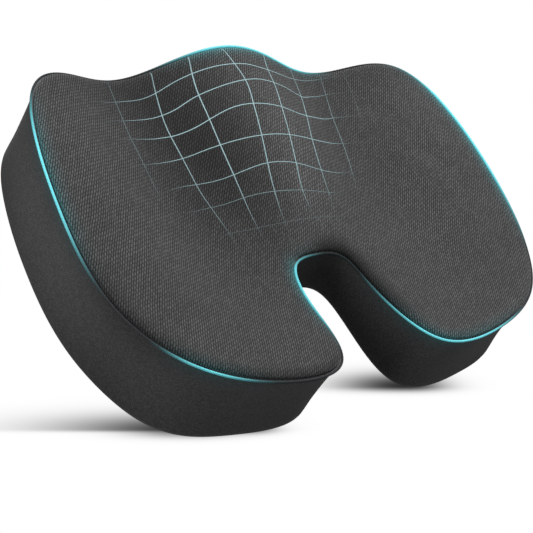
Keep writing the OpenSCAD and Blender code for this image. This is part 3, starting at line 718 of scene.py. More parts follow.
def puff(pts, s):
    """swell of the cloth in mm at points, s mm from the nearest held line"""
    flat = pts.reshape(-1, 3)
    if sim is None:
        g = np.full(len(flat), 0.8)
    else:
        g = np.zeros(len(flat))
        for i, p in enumerate(flat):
            near = sim.find_n(p, 8)
            wsum = vsum = 0.0
            for _, j, d in near:
                w = 1.0 / (d * d + 4.0)
                wsum += w
                vsum += w * sim_d[j]
            g[i] = vsum / wsum
    g = np.clip(g, -0.3, 1.15).reshape(pts.shape[:-1])
    x, y, z = pts[..., 0], pts[..., 1], pts[..., 2]
    lazy = 0.18 * (np.sin(x / 23 + 1.3) * np.sin(y / 31 + 0.4) + 0.6 * np.sin(x / 13 - y / 17 + 2.0) * np.cos(z / 15 + x / 41))
    return (SWELL_MAX * (g - 0.5) + lazy) * (1 - np.exp(-(s / 14) ** 2))


def pucker(u, s):
    """small gathers beside a seam"""
    q = arc(u)
    a = np.sin(q * 2 * np.pi / 7.3 + 1.7 * np.sin(q / 31)) * (0.6 + 0.4 * np.sin(q / 53 + 1))
    return 0.10 * a * np.exp(-((s - 3.0) / 3.2) ** 2)


def tuck(s, depth=1.0, width=1.7):
    return depth * np.exp(-(s / width) ** 2)


def move(p, u, amount):
    """moves points inwards in plan by amount, at outline place u"""
    q = inward(u)
    out = p.copy()
    out[..., :2] += q * amount[..., None]
    return out


# ---------------------------------------------------------------- horseshoe grids
EO, ET = np.array([0.875, -0.485]), np.array([0.485, 0.875])


def rim(n):
    j = np.arange(-n, n + 1)
    q = np.abs(j) / n
    half_outer = arc(M)
    uo = np.sign(j) * at_arc(q * half_outer)
    uo[n] = 0.0
    ui_arc = arc(K) - q * (arc(K) - arc(M))
    ui = at_arc(ui_arc)
    ui = np.where(j < 0, L - ui, ui)
    ui[n] = K
    uo[0], uo[-1] = -M, M
    ui[0], ui[-1] = L - M, M
    return uo, ui


def top_normal(x, y):
    e = 0.5
    gx = (top_z(x + e, y) - top_z(x - e, y)) / (2 * e)
    gy = (top_z(x, y + e) - top_z(x, y - e)) / (2 * e)
    n = np.stack([-gx, -gy, np.ones_like(gx)], -1)
    return n / np.linalg.norm(n, axis=-1, keepdims=True)


def blob(x, y, cx, cy, wx, wy, turn=0.0):
    c, n = math.cos(math.radians(turn)), math.sin(math.radians(turn))
    return np.exp(-(((x - cx) * c + (y - cy) * n) / wx) ** 2 - (((y - cy) * c - (x - cx) * n) / wy) ** 2)


def away(u):
    """1 where the edge looks away from the photograph's camera"""
    q = inward(u)
    return smooth((q[..., 0] * 0.845 + q[..., 1] * 0.535 + 0.1) / 0.5)


def tone(x, y, s, u):
    """painted light and shade over the top fabric: darker and lighter patches, painted shade along the notch edge, and
    painted shade and light along the edge near the lobe tips
    """
    t = 1 - 0.38 * blob(x, y, 72, -85, 54, 105, 13) + 0.20 * blob(x, y, -8, -35, 30, 70) - 0.12 * blob(x, y, -95, -90, 45, 70)
    t -= 0.06 * smooth((y - 20) / 60) + 0.08 * smooth((-y - 85) / 50) * smooth(np.abs(x) / 160)
    t -= 0.05 * blob(x, y, 222, 40, 30, 90)
    u = np.mod(u, L)
    notch = smooth((u - 10.6) / 0.8) * smooth((13.9 - u) / 1.2)
    tips = smooth((u - 4.3) / 0.7) * smooth((8.4 - u) / 0.6) - 0.45 * smooth((u - 14.4) / 0.6) * smooth((16.8 - u) / 0.7)
    # painted shade along the notch edge, and painted shade and light along the edge near the lobe tips
    t = t * (1 - 0.52 * notch * np.exp(-(s / 14) ** 2)) * (1 - 0.22 * tips * np.exp(-(s / 11) ** 2))
    return np.clip(t, 0.1, 1.5) ** 2.3


def wall_tone(u, z):
    """painted shade over the sides: darker just under the seam and near the foot on the flank, darker inside the
    notch, and two darker bands along the side
    """
    k = z / seam_z(u)
    u = np.mod(u, L)
    flank = smooth((u - 1.6) / 0.8) * smooth((7.0 - u) / 1.4)
    notch = smooth((u - 7.9) / 0.6) * smooth((14.1 - u) / 0.6)
    along = 1 - 0.12 * np.exp(-((u - 5.3) / 0.6) ** 2) - 0.12 * np.exp(-((u - 2.5) / 0.7) ** 2)
    return along ** 2.3 * (1 - flank * (0.12 * np.exp(-((k - 0.95) / 0.16) ** 2) + 0.16 * np.exp(-(k / 0.30) ** 2))) ** 2.3 * (1 - 0.14 * notch) ** 2.3


A_ROWS = np.array([0, 2.5, 6, 10, 15, 21, 28, 36, 45, 55, 66, 78, 90.0])
A_ARC = np.concatenate([[0], np.cumsum([math.hypot(ROLL * (math.cos(math.radians(p)) - math.cos(math.radians(q))),
                                                   CROWN * (math.sin(math.radians(q)) - math.sin(math.radians(p))))
                                        for p, q in zip(A_ROWS[:-1], A_ROWS[1:])])])


def top_grid(n, c, d, detail=False):
    """grid over the whole top: rolled outside edge, top, rolled notch edge"""
    uo, ui = rim(n)
    a = A_ROWS
    U1, A1 = np.meshgrid(uo, a, indexing="ij")
    U2, A2 = np.meshgrid(ui, a[::-1], indexing="ij")
    g1, g2 = roll(U1, A1, d), roll(U2, A2, d)
    p, q = g1[:, -1, :2], g2[:, 0, :2]
    # the notch side of each column meets the outside only at its tip, so rows crowd towards both edges
    t = np.arange(1, c) / c
    x = p[:, None, 0] + (q - p)[:, None, 0] * t[None]
    y = p[:, None, 1] + (q - p)[:, None, 1] * t[None]
    mid = np.stack([x, y, top_z(x, y) - d], -1)
    grid = np.concatenate([g1, mid, g2], 1)
    s_out = np.broadcast_to(A_ARC, U1.shape)
    s_in = np.broadcast_to(A_ARC[::-1], U2.shape)
    wide = np.linalg.norm(q - p, axis=1)[:, None]
    s_mid = A_ARC[-1] + np.minimum(t, 1 - t)[None] * wide
    s = np.concatenate([s_out, s_mid, s_in], 1)
    near = np.concatenate([U1, np.where(t[None] < 0.5, uo[:, None], ui[:, None]), U2], 1)
    # flat coordinates of the cloth in mm
    ext = A_ARC[-1] - A_ARC
    c1 = g1[:, -1:, :2] - inward(U1) * ext[None, :, None]
    c2 = g2[:, :1, :2] - inward(U2) * ext[::-1][None, :, None]
    flat = np.concatenate([c1, mid[..., :2], c2], 1)
    uv = np.stack([flat @ EO, flat @ ET], -1)
    if not detail:
        return grid, uv, s, near
    k = len(a)
    out = grid.copy()
    amt = tuck(s) + pucker(near, s)
    nrm = top_normal(grid[..., 0], grid[..., 1])
    # the rolled edge moves along its own normal
    for part, U, A in ((slice(0, k), U1, A1), (slice(k + c - 1, None), U2, A2)):
        ca, sa = np.cos(np.radians(A)), np.sin(np.radians(A))
        w = inward(U)
        nn = np.stack([-w[..., 0] * ca, -w[..., 1] * ca, sa], -1)
        nrm[:, part] = nn + (nrm[:, part] - np.array([0, 0, 1])) * sa[..., None] ** 2
    nrm /= np.linalg.norm(nrm, axis=-1, keepdims=True)
    out += nrm * puff(grid, s)[..., None]
    out = move(out, near, np.where(s < 14, amt, 0))
    edge = np.exp(-((s - 7) / 5.0) ** 2)
    # painted cyan glow on the fabric beside the seam, wider where the edge faces away
    glow = cyan(near) * (0.85 * np.exp(-s / 2.2) + 0.13 * np.exp(-(s / 9.0) ** 2) + 0.65 * away(near) * np.exp(-(s / 8.5) ** 2))
    return out, uv, s, near, edge, glow, tone(grid[..., 0], grid[..., 1], s, near)


# top panel
g, uv, s, near, edge, glow, shade_map = top_grid(190, 60, 0.0, True)
h, *_ = top_grid(190, 60, 1.6)
v, f, at = Sheet().grid(g, h, uv=uv, cyan=glow, edge=edge, tone=shade_map).closed()
top = build("cover_top_panel", v, f, at, replaces=["top_panel"], mat=MAT_TOP)


# ---------------------------------------------------------------- side band and front bands
def columns(u0, u1, step):
    a, b = arc(u0), arc(u1)
    n = max(2, int(round((b - a) / step)))
    u = at_arc(np.linspace(a, b, n + 1))
    u[0], u[-1] = u0, u1
    return u


FOOT_A = np.array([0, 12, 25, 40, 55, 72, 90.0])
WALL_V = np.concatenate([np.linspace(0, 0.9, 19)[1:], 0.9 + 0.1 * np.array([0.25, 0.45, 0.62, 0.76, 0.87, 0.95, 1.0])])


def wall_grid(u, d, lo=None, hi=None, hem_lo=False, hem_hi=False, detail=False):
    """wall of the cover over columns u; lo and hi are heights of a zip edge, or None for foot and seam"""
    rows, tops = [], []
    if lo is None:
        U, A = np.meshgrid(u, FOOT_A, indexing="ij")
        rows.append(foot(U, A, d))
        z0 = np.full(len(u), DOT_H + FOOT_R)
    else:
        z0 = np.full(len(u), float(lo))
    zt = roll(u, 0 * u, d)[..., 2] - 0.2 if hi is None else np.full(len(u), float(hi))
    if hi is None and lo is None:
        v = WALL_V
    elif hi is None:
        v = np.concatenate([[0, 0.004, 0.012, 0.03], np.linspace(0.06, 0.88, 17), 0.88 + 0.12 * np.array([0.3, 0.55, 0.74, 0.87, 0.95, 1.0])])
    else:
        v = np.concatenate([np.linspace(0, 0.85, 7)[1:], [0.92, 0.965, 0.99, 1.0]])
    U, V = np.meshgrid(u, v, indexing="ij")
    Z = z0[:, None] + (zt - z0)[:, None] * V
    rows.append(wall(U, Z, d))
    g = np.concatenate(rows, 1)
    if not detail:
        return g
    UU = np.repeat(u[:, None], g.shape[1], 1)
    zs = (roll(u, 0 * u, 0.0)[..., 2])[:, None]
    s_top = np.clip(zs - 0.2 - g[..., 2], 0, None) if hi is None else np.full(g.shape[:2], 99.0)
    e = np.full(g.shape[:2], 99.0)
    if lo is not None:
        e = g[..., 2] - lo
    if hi is not None:
        e = hi - g[..., 2]
    e = np.clip(e, 0, None)
    hem = np.where(e < 1.2, 1.2 - np.sqrt(np.clip(1.44 - (1.2 - e) ** 2, 0, None)), 0)
    base = np.clip(g[..., 2] - 8, 0, None)
    on_front = smooth((176 - np.abs(g[..., 0])) / 24) * (g[..., 1] < -120)
    swell = puff(g, np.minimum(s_top, base)) * (1 - on_front)
    amt = tuck(s_top) + pucker(UU, s_top) + hem - swell
    out = move(g, UU, amt)
    low = np.concatenate([A_FOOT_ARC, np.zeros(g.shape[1] - len(A_FOOT_ARC))]) if lo is None else None
    uv = np.stack([arc(UU), g[..., 2] - (low[None] if low is not None else 0)], -1)
    # painted cyan glow on the band just below the seam
    glow = cyan(UU) * (np.exp(-s_top / 2.8) + 0.42 * np.exp(-(s_top / 9.0) ** 2)) if hi is None else np.zeros(g.shape[:2])
    return out, uv, glow, wall_tone(UU, g[..., 2])


A_FOOT_ARC = FOOT_R * np.radians(90 - FOOT_A)
u_side = columns(U_ZIP + 0.003, L - U_ZIP - 0.003, 2.8)
g, uv, glow, shade_map = wall_grid(u_side, 0.0, detail=True)
v, f, at = Sheet().grid(g, wall_grid(u_side, 1.6), uv=uv, cyan=glow, tone=shade_map).closed()
build("cover_side_band", v, f, at, replaces=["side_band"], mat=MAT_SIDE)

u_front = columns(-U_ZIP, U_ZIP, 2.0)
g, uv, glow, shade_map = wall_grid(u_front, 0.0, lo=ZIP_Z + ZIP_GAP, detail=True)
v, f, at = Sheet().grid(g, wall_grid(u_front, 1.6, lo=ZIP_Z + ZIP_GAP), uv=uv, cyan=glow, tone=shade_map).closed()
build("cover_front_band_upper", v, f, at, replaces=["front_band_upper"], mat=MAT_SIDE)
g, uv, glow, shade_map = wall_grid(u_front, 0.0, hi=ZIP_Z - ZIP_GAP, detail=True)
v, f, at = Sheet().grid(g, wall_grid(u_front, 1.6, hi=ZIP_Z - ZIP_GAP), uv=uv, cyan=glow, tone=shade_map).closed()
build("cover_front_band_lower", v, f, at, replaces=["front_band_lower"], mat=MAT_SIDE)


# ---------------------------------------------------------------- bottom panel, and the layers inside
def floor_grid(n, c, z, d, inset=0.0):
    uo, ui = rim(n)
    p, q = foot(uo, 0 * uo, max(d, 2.0)), foot(ui, 0 * ui, max(d, 2.0))
    p[..., :2] += inward(uo) * inset
    q[..., :2] += inward(ui) * inset
    t = np.arange(c + 1) / c
    g = p[:, None] + (q - p)[:, None] * t[None, :, None]
    g[..., 2] = z
    return g


def base_sheet():
    n, c = 190, 44
    g = floor_grid(n, c, DOT_H, 0.0, 0.3)
    h = floor_grid(n, c, DOT_H + 1.6, 0.0, 0.3)
    wide = np.linalg.norm(g[:, -1, :2] - g[:, 0, :2], axis=1)[:, None]
    t = np.arange(c + 1) / c
    s = np.minimum(t, 1 - t)[None] * wide
    x, y = g[..., 0], g[..., 1]
    # soft hollows between the dots, and an edge turned up into the seam
    lazy = 0.22 + 0.22 * np.sin(x / 19 + 0.6) * np.sin(y / 23 + 1.1)
    g[..., 2] += lazy * (1 - np.exp(-(s / 12) ** 2)) + 0.5 * np.exp(-(s / 1.6) ** 2)
    uv = np.stack([x, y], -1)
    return Sheet().grid(g, h, uv=uv).closed()


v, f, at = base_sheet()
build("cover_bottom_panel", v, f, at, replaces=["bottom_panel"], mat=MAT_BASE)


def body_sheet(d, n=110, c=28, gap=0.0, top=True, bottom=True, inner=None):
    """the layer at inset d: top sheet, walls and floor as wanted; inner gives its other face"""
    uo, ui = rim(n)
    sh = Sheet()

    def walls(u, dd):
        a = np.array([0, 22.5, 45, 67.5, 90])
        vv = np.linspace(0, 1, 13)[1:]
        U, A = np.meshgrid(u, a, indexing="ij")
        U2, V = np.meshgrid(u, vv, indexing="ij")
        return np.concatenate([foot(U, A, dd), rise(U2, V, dd, gap)], 1)

    def tops(dd):
        g, uv, s, near = top_grid(n, c, dd)
        return g, uv

    if top:
        g, uv = tops(d)
        sh.grid(g, None if inner is None else tops(inner)[0], uv=uv)
    if bottom:
        for u, flip in ((uo, False), (ui, True)):
            g = walls(u, d)
            w = None if inner is None else walls(u, inner)
            if flip:
                g, w = g[::-1], None if w is None else w[::-1]
                u = u[::-1]
            uv = np.stack([np.repeat(arc(u)[:, None], g.shape[1], 1), g[..., 2]], -1)
            sh.grid(g[::-1], None if w is None else w[::-1], uv=uv[::-1])
        fl = floor_grid(n, 16, DOT_H + d, d)
        fw = None if inner is None else floor_grid(n, 16, DOT_H + inner, inner)
        sh.grid(fl[::-1], None if fw is None else fw[::-1], uv=fl[::-1][..., :2])
    return sh


def fix_normals(ob):
    bm = bmesh.new()
    bm.from_mesh(ob.data)
    bmesh.ops.recalc_face_normals(bm, faces=bm.faces)
    bm.to_mesh(ob.data)
    bm.free()


v, w, f, at = body_sheet(6.0).weld()
ob = build("foam_core_pad", v, f, at, replaces=["foam_core"], mat=MAT_FOAM, angle=80)
fix_normals(ob)
v, f, at = body_sheet(4.0, top=True, bottom=False, inner=4.8).closed()
ob = build("liner_top_sheet", v, f, at, replaces=["inner_liner_upper"], mat=MAT_LINER, angle=80)
fix_normals(ob)


def tray():
    """walls and floor of the liner, both faces, joined along the upper rim"""
    parts = []
    for d in (4.0, 4.8):
        v, w, f, at = body_sheet(d, gap=0.9, top=False, bottom=True).weld()
        parts.append((v, f, at))
    (v, f, at), (v2, f2, at2) = parts
    return v, f, at, v2, f2, at2


v, f, at, v2, f2, at2 = tray()
bm = bmesh.new()
for vv, ff in ((v, f), (v2, f2)):
    made = [bm.verts.new(p * MM) for p in vv]
    for q in ff:
        try:
            bm.faces.new([made[k] for k in q])
        except ValueError:
            pass
bmesh.ops.recalc_face_normals(bm, faces=bm.faces)
edges = [e for e in bm.edges if e.is_boundary]
bmesh.ops.bridge_loops(bm, edges=edges)
bmesh.ops.recalc_face_normals(bm, faces=bm.faces)
me = bpy.data.meshes.new("liner_tray")
bm.to_mesh(me)
bm.free()
me.polygons.foreach_set("use_smooth", [True] * len(me.polygons))
layer = me.uv_layers.new(name="weave")
idx = np.zeros(len(me.loops), np.int32)
me.loops.foreach_get("vertex_index", idx)
co = np.zeros(len(me.vertices) * 3, np.float32)
me.vertices.foreach_get("co", co)
co = co.reshape(-1, 3)[idx] * 1000
layer.data.foreach_set("uv", np.stack([co[:, 0] + co[:, 1], co[:, 2] + co[:, 1]], 1).astype(np.float32).ravel())
me.set_sharp_from_angle(angle=math.radians(80))
me.materials.append(MAT_LINER)
ob = bpy.data.objects.new("liner_tray", me)
scene.collection.objects.link(ob)
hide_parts("inner_liner_lower")
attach(ob, "cushion")


# ---------------------------------------------------------------- piping and seam threads
us = at_arc(np.arange(0, ROUND, 0.8)[:-1])
swell_c = away(us) * cyan(us) * (1 + 0.45 * smooth((-plan(us)[:, 0] - 120) / 60))
mid = np.concatenate([plan(us) - inward(us) * 1.15, (seam_z(us) + 0.15 + 1.25 * swell_c)[:, None]], 1)
q = arc(us)
n_side = 12
d = np.roll(mid, -1, 0) - np.roll(mid, 1, 0)
d /= np.linalg.norm(d, axis=1, keepdims=True)
sx = np.cross(d, [0, 0, 1.0])
sx /= np.linalg.norm(sx, axis=1, keepdims=True)
sz = np.cross(sx, d)
ang = np.arange(n_side) * 2 * np.pi / n_side
ply = 1 + 0.055 * np.cos(3 * (ang[None] - q[:, None] * 2 * np.pi / 9.6))
rad = (0.95 + 0.50 * swell_c)[:, None] * ply
v = mid[:, None] + rad[..., None] * (np.cos(ang)[None, :, None] * sx[:, None] + np.sin(ang)[None, :, None] * sz[:, None])
m_ = len(us)
uvc = np.stack([np.repeat(q[:, None], n_side, 1), np.repeat((ang * 0.98)[None], m_, 0)], -1)
cy = np.repeat(cyan(us)[:, None], n_side, 1)
# where the cord is painted darker inside the notch, as shade
dim = np.repeat((smooth((us - 9.9) / 0.7) * smooth((14.0 - us) / 0.8))[:, None], n_side, 1)
faces = [[i * n_side + k, i * n_side + (k + 1) % n_side, ((i + 1) % m_) * n_side + (k + 1) % n_side, ((i + 1) % m_) * n_side + k]
         for i in range(m_) for k in range(n_side)]
build("seam_piping", v.reshape(-1, 3), faces, {"uv": uvc.reshape(-1, 2), "cyan": cy.reshape(-1, 1), "dim": dim.reshape(-1, 1)},
      replaces=["top_piping"], mat=MAT_CORD, angle=0)

# narrow flange of the piping, going into the seam
prof = np.array([[-0.5, 0.22], [0.6, 0.25], [1.9, 0.2], [1.9, -0.2], [0.6, -0.25], [-0.5, -0.22]])
us2 = at_arc(np.arange(0, ROUND, 3.0)[:-1])
c0 = np.concatenate([plan(us2), (seam_z(us2) - 0.1)[:, None]], 1)
iw = inward(us2)
v = np.stack([np.concatenate([c0[:, :2] + iw * a, (c0[:, 2] + b)[:, None]], 1) for a, b in prof], 1)
m_ = len(us2)
faces = [[i * 6 + k, i * 6 + (k + 1) % 6, ((i + 1) % m_) * 6 + (k + 1) % 6, ((i + 1) % m_) * 6 + k] for i in range(m_) for k in range(6)]
build("seam_piping_flange", v.reshape(-1, 3), faces, {"uv": np.stack([np.repeat(arc(us2)[:, None], 6, 1), np.repeat(prof[None, :, 0], m_, 0)], -1).reshape(-1, 2)},
      mat=MAT_THREAD, angle=40)

# overlocked edge where the bottom panel is sewn to the bands
us3 = at_arc(np.arange(0, ROUND, 1.1)[:-1])
p0 = foot(us3, 0 * us3)
p0[:, :2] += inward(us3) * 0.15
p0[:, 2] = 1.15 + 0.12 * np.sin(arc(us3) * 2 * np.pi / 3.3)
p0[:, :2] += inward(us3) * (0.35 * np.cos(arc(us3) * 2 * np.pi / 3.3))[:, None]
v, f = tube(p0, 0.42, 6, closed=True)
build("bottom_seam_overlock", v, f, None, mat=MAT_THREAD, angle=0)

# ---------------------------------------------------------------- printed lines over the front
GRID = [
    (0.45, [(-137, -144), (-132, -108), (-125, -84)]),
    (0.8, [(-114, -146), (-105, -117), (-96, -89), (-90, -60), (-84, -34), (-78, -10)]),
    (1.0, [(-75, -148), (-65, -114), (-53, -85), (-43, -60), (-38, -34), (-36, 0), (-37, 16)]),
    (1.0, [(-38, -152), (-31, -133), (-27, -111), (-20, -86), (-14, -60), (-9, -34), (-6, -9), (-11, 21)]),
    (1.0, [(13, -157), (9, -147), (5, -116), (11, -85), (16, -59), (21, -29), (23, 1), (22, 26)]),
    (1.0, [(41, -154), (44, -146), (50, -118), (52, -88), (53, -59), (52, -29), (50, 1), (46, 30)]),
    (1.0, [(76, -149), (84, -113), (87, -89), (86, -59), (84, -29), (78, 0), (70, 30)]),
    (0.7, [(119, -142), (123, -109), (126, -85), (126, -60), (125, -31), (122, -11)]),
    (1.0, [(-152, -131), (-132, -136), (-108, -137), (-78, -133), (-54, -130), (-24, -131), (-4, -134), (28, -135), (59, -132), (89, -124), (118, -121), (168, -111)]),
    (1.0, [(-142, -115), (-113, -119), (-83, -114), (-63, -109), (-39, -114), (-4, -117), (49, -112), (79, -104), (118, -101), (158, -94)]),
    (1.0, [(-137, -89), (-103, -91), (-73, -87), (-43, -84), (-14, -89), (27, -92), (69, -83), (98, -82), (127, -81), (153, -74)]),
    (0.9, [(-117, -62), (-83, -61), (-43, -58), (7, -61), (59, -62), (98, -59), (127, -56), (147, -51)]),
    (0.8, [(-93, -32), (-53, -28), (-33, -29), (-3, -35), (23, -37), (59, -34), (98, -35), (126, -29)]),
    (0.6, [(-69, -9), (-38, -8), (-2, -11), (38, -14), (78, -13), (117, -12)]),
    (0.4, [(-54, 15), (-23, 13), (28, 13), (68, 12), (96, 13)]),
]


def curve_through(pts, step=2.0):
    """smooth curve through a few points (Catmull-Rom), evenly spaced"""
    p = np.array(pts, float)
    p = np.vstack([2 * p[0] - p[1], p, 2 * p[-1] - p[-2]])
    out = []
    for i in range(1, len(p) - 2):
        t = np.linspace(0, 1, 40, endpoint=False)[:, None]
        a, b, c, d = p[i - 1], p[i], p[i + 1], p[i + 2]
        out.append(0.5 * (2 * b + (c - a) * t + (2 * a - 5 * b + 4 * c - d) * t ** 2 + (3 * b - a - 3 * c + d) * t ** 3))
    out = np.vstack(out + [p[-2:-1]])
    s = np.concatenate([[0], np.cumsum(np.linalg.norm(np.diff(out, axis=0), axis=1))])
    q = np.linspace(0, s[-1], int(s[-1] / step) + 2)
    return np.stack([np.interp(q, s, out[:, 0]), np.interp(q, s, out[:, 1])], 1), q / s[-1]


bpy.context.view_layer.update()
from mathutils.bvhtree import BVHTree
dg = bpy.context.evaluated_depsgraph_get()
top_tree = BVHTree.FromObject(top, dg)


def on_top(xy):
    z, ok = np.zeros(len(xy)), np.ones(len(xy), bool)
    for i, (x, y) in enumerate(xy):
        hit = top_tree.ray_cast(Vector((x * MM, y * MM, 0.2)), Vector((0, 0, -1)))
        if hit[0] is None:
            ok[i] = False
        else:
            z[i] = hit[0].z * 1000
    return z, ok


shapes, fades, uvs = [], [], []
for strength, pts in GRID:
    xy, t = curve_through(pts)
    dd = np.gradient(xy, axis=0)
    dd /= np.linalg.norm(dd, axis=1, keepdims=True)
    side = np.stack([-dd[:, 1], dd[:, 0]], 1)
    centre = np.exp(-((xy[:, 0] - 8) / 118) ** 2 - ((xy[:, 1] + 84) / 90) ** 2)
    lengthwise = abs(pts[-1][1] - pts[0][1]) > 40
    fade = strength * np.clip(1.45 * centre, 0, 1) * (1 if lengthwise else smooth(t / 0.2)) * smooth((1 - t) / 0.2)
    half_w = 0.14 + 0.36 * fade
    layers = []
    for k, off in ((-1, -1.0), (0, 0.0), (1, 1.0)):
        e = xy + side * (half_w * off)[:, None]
        z, ok = on_top(e)
        layers.append((np.concatenate([e, (z + (0.10 if k == 0 else 0.02))[:, None]], 1), ok))
    ok = layers[0][1] & layers[1][1] & layers[2][1]
    keep = np.where(ok)[0]
    if len(keep) < 4:
        continue
    a, b, c_ = [l[0][keep] for l in layers]
    under = b.copy()
    under[:, 2] -= 0.35
    m_ = len(keep)
    v = np.stack([a, b, c_, under], 1).reshape(-1, 3)
    fs = []
    for i in range(m_ - 1):
        for k in range(4):
            p, q = i * 4 + k, i * 4 + (k + 1) % 4
            fs.append([p, q, q + 4, p + 4])
    fs += [[3, 2, 1, 0], [(m_ - 1) * 4 + k for k in range(4)]]
    shapes.append((v, fs))
    fades.append(np.repeat(fade[keep], 4))
    uvs.append(np.repeat(xy[keep], 4, 0))
v, f = many(shapes)
build("top_printed_lines", v, f, {"fade": np.concatenate(fades)[:, None], "uv": np.concatenate(uvs)}, mat=MAT_LINE, angle=0)

# ---------------------------------------------------------------- zip
def strap(x0, x1, z0, z1, y0, y1, step, rows, ripple=0.0, bead=None):
    """flat woven strip in the XZ plane with rounded edges; y0 is its front face"""
    xs = np.linspace(x0, x1, int((x1 - x0) / step) + 1)
    t = np.linspace(0, 1, rows)
    X, T = np.meshgrid(xs, t, indexing="ij")
    Z = z0 + (z1 - z0) * T
    e = np.minimum(T, 1 - T) * (z1 - z0)
    th = (y1 - y0) / 2
    y_mid = (y0 + y1) / 2
    half_t = th * np.sqrt(np.clip(1 - (1 - np.clip(e / th, 0, 1)) ** 2, 0.02, 1))
    wave = ripple * np.sin(X * 2 * np.pi / 37 + Z / 5) * np.sin(np.pi * T)
    front = np.stack([X, y_mid - half_t + wave, Z], -1)
    back = np.stack([X, y_mid + half_t + wave, Z], -1)
    if bead is not None:
        d = np.abs(Z - bead)
        front[..., 1] -= 0.22 * np.exp(-(d / 0.5) ** 2)
    return Sheet().grid(front, back, uv=np.stack([X, Z], -1)).closed()


v, f, at = strap(-142, 142, 26.9, 39.0, -147.8, -147.2, 2.0, 15, 0.0, bead=29.2)
build("zip_tape_top", v, f, at, replaces=["zip_tape_upper"], mat=MAT_TAPE)
v, f, at = strap(-142, 142, 13.0, 25.1, -147.8, -147.2, 2.0, 15, 0.0, bead=22.8)
build("zip_tape_bottom", v, f, at, replaces=["zip_tape_lower"], mat=MAT_TAPE)

tooth = [(0, 0), (0.26, 0.02), (0.44, 0.14), (0.50, 0.38), (0.50, 0.75), (0.37, 1.05), (0.36, 2.3), (0.46, 2.45), (0.47, 3.1), (0.30, 3.28), (0, 3.3)]
tv, tf = lathe(tooth, 10)
for side_, name, node in ((1, "zip_elements_top", "zip_teeth_upper"), (-1, "zip_elements_bottom", "zip_teeth_lower")):
    shapes = []
    x = -131.0
    while x <= 130.001:
        p = tv.copy()
        p[:, 2] *= side_
        p = p + np.array([x + (0 if side_ > 0 else 1.0), FLAT_Y + 1.7, ZIP_Z + 0.4 * side_])
        shapes.append((p, tf if side_ > 0 else [q[::-1] for q in tf]))
        x += 2.0
    v, f = many(shapes)
    build(name, v, f, None, replaces=[node], mat=MAT_NYLON, angle=60)

for node, mat in (("zip_slider", MAT_METAL), ("zip_pull", MAT_METAL), ("zip_top_stops", MAT_METAL), ("zip_bottom_stop", MAT_METAL)):
    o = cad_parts[node]
    o.data.materials.clear()
    o.data.materials.append(mat)
    o.data.polygons.foreach_set("use_smooth", [False] * len(o.data.polygons))
    b = o.modifiers.new("edge", "BEVEL")
    b.width, b.segments, b.limit_method, b.angle_limit = 0.00014, 2, "ANGLE", math.radians(40)

shapes = []
for side_ in (1, -1):
    x = -ZIP_HALF + 4
    while x <= ZIP_HALF - 6 + 1e-6:
        z = ZIP_Z + side_ * 7.4
        shapes.append(stitch([x - 0.1, FLAT_Y - 0.12, z], [x + 2.7, FLAT_Y - 0.12, z], 0.26))
        x += 3.6
v, f = many(shapes)
build("zip_topstitch", v, f, None, replaces=["zip_stitching"], mat=MAT_THREAD, angle=60)


# ---------------------------------------------------------------- handle
def front_pt(x, z, d):
    return wall(find_u(x), z, d)


def handle_half(sign):
    """one half of the handle, from its sewn end to the middle"""
    xs = np.concatenate([np.linspace(80, 58, 12), np.linspace(57, 43, 22), np.linspace(41, 0, 24)])
    ang = np.arange(28) * 2 * np.pi / 28
    rings, uv = [], []
    run = 0.0
    last = None
    for x in xs:
        w = float(smooth((x - 43.5) / 13.5))       # 1 = sewn flat, 0 = folded grip
        k = max(0.0, 1 - (x / 48) ** 2)
        off = 5 + 6 * k + (1.5 + 0.7 * k)
        hh = (4.5 + 2 * k) * (1 - w) + 12.0 * w
        ht = (1.5 + 0.7 * k) * (1 - w) + 0.7 * w
        ca, sa = np.cos(ang), np.sin(ang)
        ex = 0.7 * (1 - w) + 0.22 * w
        hz = hh * np.sign(sa) * np.abs(sa) ** ex
        hy = ht * np.sign(ca) * np.abs(ca) ** ex
        z = HANDLE_Z + hz
        flat_pts = front_pt(np.full(len(z), x), z, 0.0)
        y_flat = flat_pts[:, 1] - 1.2
        y_grip = FLAT_Y - off
        y = y_flat * w + y_grip * (1 - w) - hy
        ring = np.stack([np.full(len(z), sign * x), y, z], 1)
        c = ring.mean(0)
        run += 0 if last is None else float(np.linalg.norm(c - last))
        last = c
        rings.append(ring)
        uv.append(np.stack([np.full(len(z), run), hz], 1))
    rings, uv = np.array(rings), np.array(uv)
    m, n = rings.shape[:2]
    v = rings.reshape(-1, 3)
    f = [[i * n + k, i * n + (k + 1) % n, (i + 1) * n + (k + 1) % n, (i + 1) * n + k] for i in range(m - 1) for k in range(n)]
    # the sewn end is closed with a flat cap; the middle meets the other half
    f.append(list(range(n))[::-1])
    f.append([(m - 1) * n + k for k in range(n)])
    return v, f, {"uv": uv.reshape(-1, 2)}


for sign, name, nodes in ((1, "handle_strap_right", ["handle_ends", "handle_grip"]), (-1, "handle_strap_left", ["handle_ends", "handle_grip"])):
    v, f, at = handle_half(sign)
    ob = build(name, v, f, at, body=None, replaces=nodes, mat=MAT_WEB, angle=50)
    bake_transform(ob)

